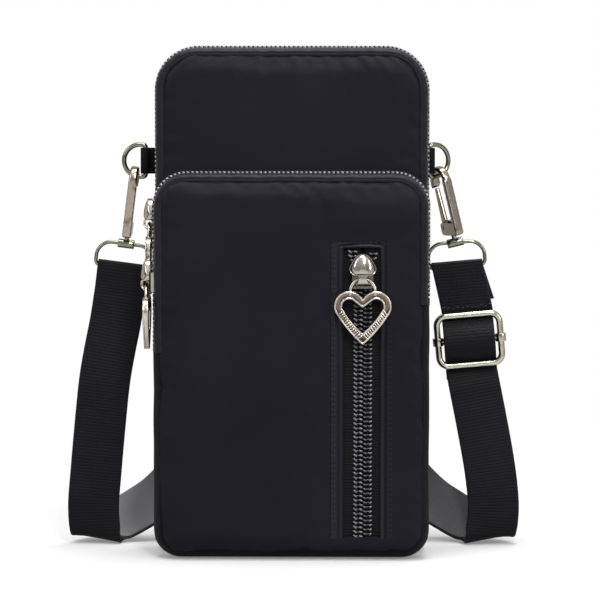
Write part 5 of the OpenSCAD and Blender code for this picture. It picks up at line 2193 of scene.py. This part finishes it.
    def _painted_sheen_at(self, q: np.ndarray, face: np.ndarray, y: float) -> float:
        """Finds the share of painted sheen at a place through the webbing, from its middle and face there: on
        the inner face, weaker on the shaded right leg, and where the legs lean to the light.
        """
        turned = smooth((-face[1] * np.sign(y) - 0.1) / 0.35) * (1.0 if q[0] < 0 else self.right_sheen_share)
        return max(turned * smooth((q[1] - 16.5) / 4.0), self._lean_sheen(q))

    def _seam(self, fine: list[np.ndarray], wide: list[np.ndarray]) -> None:
        """Sews the right fold with a ragged row of stitches across its front.

        Args:
            fine: The middle of the webbing.
            wide: The direction across it.
        """
        start = next(i for i, q in enumerate(fine) if q[2] > self.foot_right[2])
        i = next(i for i in range(start, len(fine)) if fine[i][2] < self.seam_z)
        way, q, w = self.travel(fine, i), fine[i], unit(wide[i])
        out = unit(np.cross(way, w))
        out = out * -np.sign(out[1])
        spots = []
        count = self.seam_stitches
        for k in range(count):
            x = (k - (count - 1) / 2) * self.width / count
            rise = 0.22 * math.sin(2.6 * k) + (0.5 if k in (0, count - 1) else 0.0)
            p = q + w * x - way * rise + out * (self.thick / 2)
            along = unit(way + 0.25 * math.sin(1.7 * k) * w)
            spots.append(Spot(tuple(p), tuple(along), tuple(out)))
        sizes = {"reach": 0.8, "rise": 0.32, "radius": 0.26, "seat": -0.15}
        dress(Repeats.rods("strap_seam", spots, Finishes.thread, **sizes), Finishes.thread)

    def build(self) -> None:
        """Builds the webbing as a ribbon with rounded edges and its UV map, and its seam."""
        line, across = self.centre_line()
        fine, wide = spline(line, 2), spline(across, 2)
        h, t = self.width / 2, self.thick / 2
        top = [(-h, 0.0), (-h + 0.12, t * 0.72), (-h + 0.45, t), (-h + 1.1, t * 0.92)]
        top += [(-h / 2, t * 0.94), (0.0, t * 0.95)]
        top += [(-x, y) for x, y in reversed(top[:-1])]
        section = top + [(x, -y) for x, y in reversed(top[1:-1])]
        lengths = [0.0]
        for a, b in zip(fine, fine[1:]):
            lengths.append(lengths[-1] + float(np.linalg.norm(b - a)))
        rings, painted_sheen = [], []
        for i, q in enumerate(fine):
            way = self.travel(fine, i)
            face = unit(np.cross(way, wide[i]))
            square = unit(np.cross(face, way))
            skew = smooth((q[2] - 84) / 4) if q[0] > 0 and q[1] < self.outer_face_y else 0.0
            w = unit(blend(square, unit(wide[i]) * np.sign(np.dot(square, wide[i])), skew))
            rings.append([tuple(q + w * x + face * y) for x, y in section])
            painted_sheen += [self._painted_sheen_at(q, face, y) for _, y in section]
        girth = [x + h for x, _ in section + section[:1]]
        piece = new_object("strap_ribbon", shell_mesh("strap_ribbon", rings, lengths, girth, 60))
        # Painted sheen: each point's share of the pale sheen colour.
        mark(piece, "painted_sheen_share", painted_sheen)
        dress(piece, Finishes.strap, "strap_webbing")
        self._seam(fine, wide)


class Hardware:
    """Metal pieces: rings, hooks, gates, swivels and the buckle."""

    def build(self) -> None:
        """Rounds the castings and finishes the wires."""
        for side in (s.value for s in Side):
            Copy(f"snap_hook_{side}", f"snap_hook_{side}_casting", Finishes.hook).cast()
            Copy(f"hook_gate_{side}", f"hook_gate_{side}_lever", Finishes.hook).softened(0.22)
            Copy(f"swivel_{side}", f"swivel_{side}_post", Finishes.ring).softened(0.18)
            for node in ("gate_pin", "d_ring", "strap_ring"):
                Copy(f"{node}_{side}", f"{node}_{side}_wire", Finishes.ring).wire()
        Copy("buckle_frame", "buckle_frame_wire", Finishes.buckle).wire()
        Copy("buckle_bar", "buckle_bar_casting", Finishes.buckle).softened(0.15)


class SoftParts:
    """Tabs, linings and foam."""

    def build(self) -> None:
        """Makes soft copies of the tabs and of what lies inside."""
        for side in (s.value for s in Side):
            Copy(f"tab_{side}", f"tab_{side}_webbing", Finishes.gusset).softened(0.3)
        for node in ("main_lining", "pocket_lining", "zip_pocket_bag"):
            Copy(node, f"{node}_cloth", Finishes.lining).softened(0.08, 1)
        for node in ("rear_foam", "divider_foam"):
            Copy(node, f"{node}_pad", Finishes.foam).softened(0.6)


@dataclass
class Studio:
    """Camera, lights, floor and backdrop."""

    target: Point = (0.00336, -0.026, 0.09682)
    azimuth: float = 0.9
    elevation: float = 5.0
    distance: float = 1.187
    frame_width: float = 0.22107
    sensor: float = 36.0
    floor_half: float = 6.0
    floor_drop: float = 0.0004
    paper: float = 0.57
    bounce: float = 0.2
    lift: float = 0.18
    mirror: float = 0.6
    white_from: Flat = (0.16, 0.4)
    room: float = 0.2
    gloss: Flat = (0.08, 0.75)

    def _look_at(self, item: Piece, place: Vector, aim: Vector) -> None:
        """Puts a camera or lamp into the scene and turns it towards a point."""
        bpy.context.scene.collection.objects.link(item)
        item.location, item.rotation_mode = place, "QUATERNION"
        item.rotation_quaternion = (aim - place).to_track_quat("-Z", "Y")

    def _camera(self) -> None:
        """Sets up the camera at the photograph's place."""
        data = bpy.data.cameras.new("camera")
        data.sensor_width = self.sensor
        data.lens = self.sensor * self.distance / self.frame_width
        data.clip_start, data.clip_end = 0.05, 50.0
        camera = bpy.data.objects.new("camera", data)
        a, e = math.radians(self.azimuth), math.radians(self.elevation)
        back = Vector((math.sin(a) * math.cos(e), -math.cos(a) * math.cos(e), math.sin(e)))
        target = Vector(self.target)
        self._look_at(camera, target + back * self.distance, target)
        bpy.context.scene.camera = camera

    def _lamp(self, name: str, place: Point, size: Flat, power: float) -> None:
        """Sets up a soft lamp that faces the pouch.

        Args:
            name: Its name.
            place: Its place in metres.
            size: Its width and height.
            power: Its power in watts.
        """
        data = bpy.data.lights.new(name, "AREA")
        data.shape = "RECTANGLE"
        data.size, data.size_y = size
        data.energy = power
        self._look_at(bpy.data.objects.new(name, data), Vector(place), Vector((0, 0, 0.1)))

    @staticmethod
    def _seen_directly(g: Graph, mirrored: Any) -> Any:
        """Measures how far a ray comes from the camera, through glass or off a mirror.

        Args:
            g: The graph to add the nodes to.
            mirrored: The share that a ray off a mirror has.

        Returns:
            The share's socket.
        """
        path = g.add("ShaderNodeLightPath").outputs
        gloss = g.math("MULTIPLY", path["Is Glossy Ray"], mirrored)
        rays = g.math("MAXIMUM", path["Is Camera Ray"], gloss)
        return g.math("MAXIMUM", rays, path["Is Transmission Ray"])

    def _floor(self) -> None:
        """Lays a pale floor that reads white and keeps the shadow."""
        r, z = self.floor_half, -self.floor_drop
        mesh = bpy.data.meshes.new("floor")
        mesh.from_pydata([(-r, -r, z), (r, -r, z), (r, r, z), (-r, r, z)], [], [(0, 1, 2, 3)])
        floor = new_object("floor", mesh)
        material = bpy.data.materials.new("floor_paper")
        material.use_nodes = True
        g = Graph(material.node_tree)
        g.tree.nodes.clear()
        paper, dim = (
            g.add("ShaderNodeBsdfDiffuse", {"Color": (tone, tone, tone, 1)}).outputs[0]
            for tone in (self.paper, self.bounce)
        )
        lift, white = (
            g.add("ShaderNodeEmission", {"Strength": power}).outputs[0] for power in (self.lift, 1.0)
        )
        near = g.add("ShaderNodeAddShader", {0: paper, 1: lift}).outputs[0]
        inputs = {0: g.coordinates("Object")}
        reach = g.add("ShaderNodeVectorMath", inputs, operation="LENGTH").outputs["Value"]
        seen = g.mix_shaders(g.spread(reach, 0.0, 1.0, *self.white_from), near, white)
        pick = g.mix_shaders(self._seen_directly(g, self.mirror), dim, seen)
        g.add("ShaderNodeOutputMaterial", {0: pick})
        mesh.materials.append(material)

    def _world(self) -> None:
        """Sets white behind the pouch, and a dim soft room that lights it."""
        world = bpy.data.worlds.new("studio")
        bpy.context.scene.world = world
        world.use_nodes = True
        g = Graph(world.node_tree)
        g.tree.nodes.clear()
        way = g.add("ShaderNodeSeparateXYZ", {0: g.coordinates("Generated")}).outputs
        dome = g.spread(way["Z"], self.room, 1.0, start=0.1)
        room, white = (
            g.add("ShaderNodeBackground", {"Color": (1, 1, 1, 1), "Strength": power}).outputs[0]
            for power in (dome, 1.0)
        )
        mirrored = g.spread(way["Y"], *self.gloss, start=-0.3, end=0.6)
        g.add("ShaderNodeOutputWorld", {0: g.mix_shaders(self._seen_directly(g, mirrored), room, white)})

    def build(self) -> None:
        """Sets up the studio."""
        bpy.context.scene.view_settings.view_transform = "Standard"
        self._camera()
        self._floor()
        self._world()
        self._lamp("key", (0.16, -0.72, 0.72), (0.12, 0.6), 4.0)
        self._lamp("left", (-1.0, -0.6, 0.7), (0.2, 0.8), 2.5)
        self._lamp("fill", (1.0, -0.75, 0.5), (0.2, 0.6), 3.0)
        self._lamp("top", (0.05, -0.06, 1.2), (0.9, 0.35), 11.0)


def main() -> None:
    """Builds the pouch in order."""
    p, front = Pouch(), FrontZip()
    Studio().build()
    Strap().build()
    pocket = (p.pocket_h, p.pocket_r, p.y_front, -1.0)
    ClothFace("pocket_face_cloth", "pocket_panel", *pocket, p, window=front.window).build()
    ClothFace("upper_face_cloth", "divider_panel", p.body_h, p.top_r, p.y_mid, -1.0, p, crown=0.7).build()
    ClothFace("rear_face_cloth", "rear_panel", p.body_h, p.top_r, p.y_back, 1.0, p, crown=0.7).build()
    Gussets(p).build()
    GussetZip(p.main_zip, p.main_y, "main").build()
    GussetZip(p.pocket_zip, p.pocket_y, "pocket").build()
    front.build()
    Hardware().build()
    SoftParts().build()
    mounts = {
        "main": Mount((-p.half_w, p.main_y, p.main_slider_z), turned=True),
        "pocket": Mount((-p.half_w, p.pocket_y, p.pocket_slider_z), turned=True),
        "front": Mount((front.x, front.zip_y, front.slider_z)),
    }
    for name, mount in mounts.items():
        Slider(name, mount).build()
    for name, mount in mounts.items():
        HeartPull(name, mount.moved(out=2.15, down=4.5)).build()


if __name__ == "__main__":
    main()
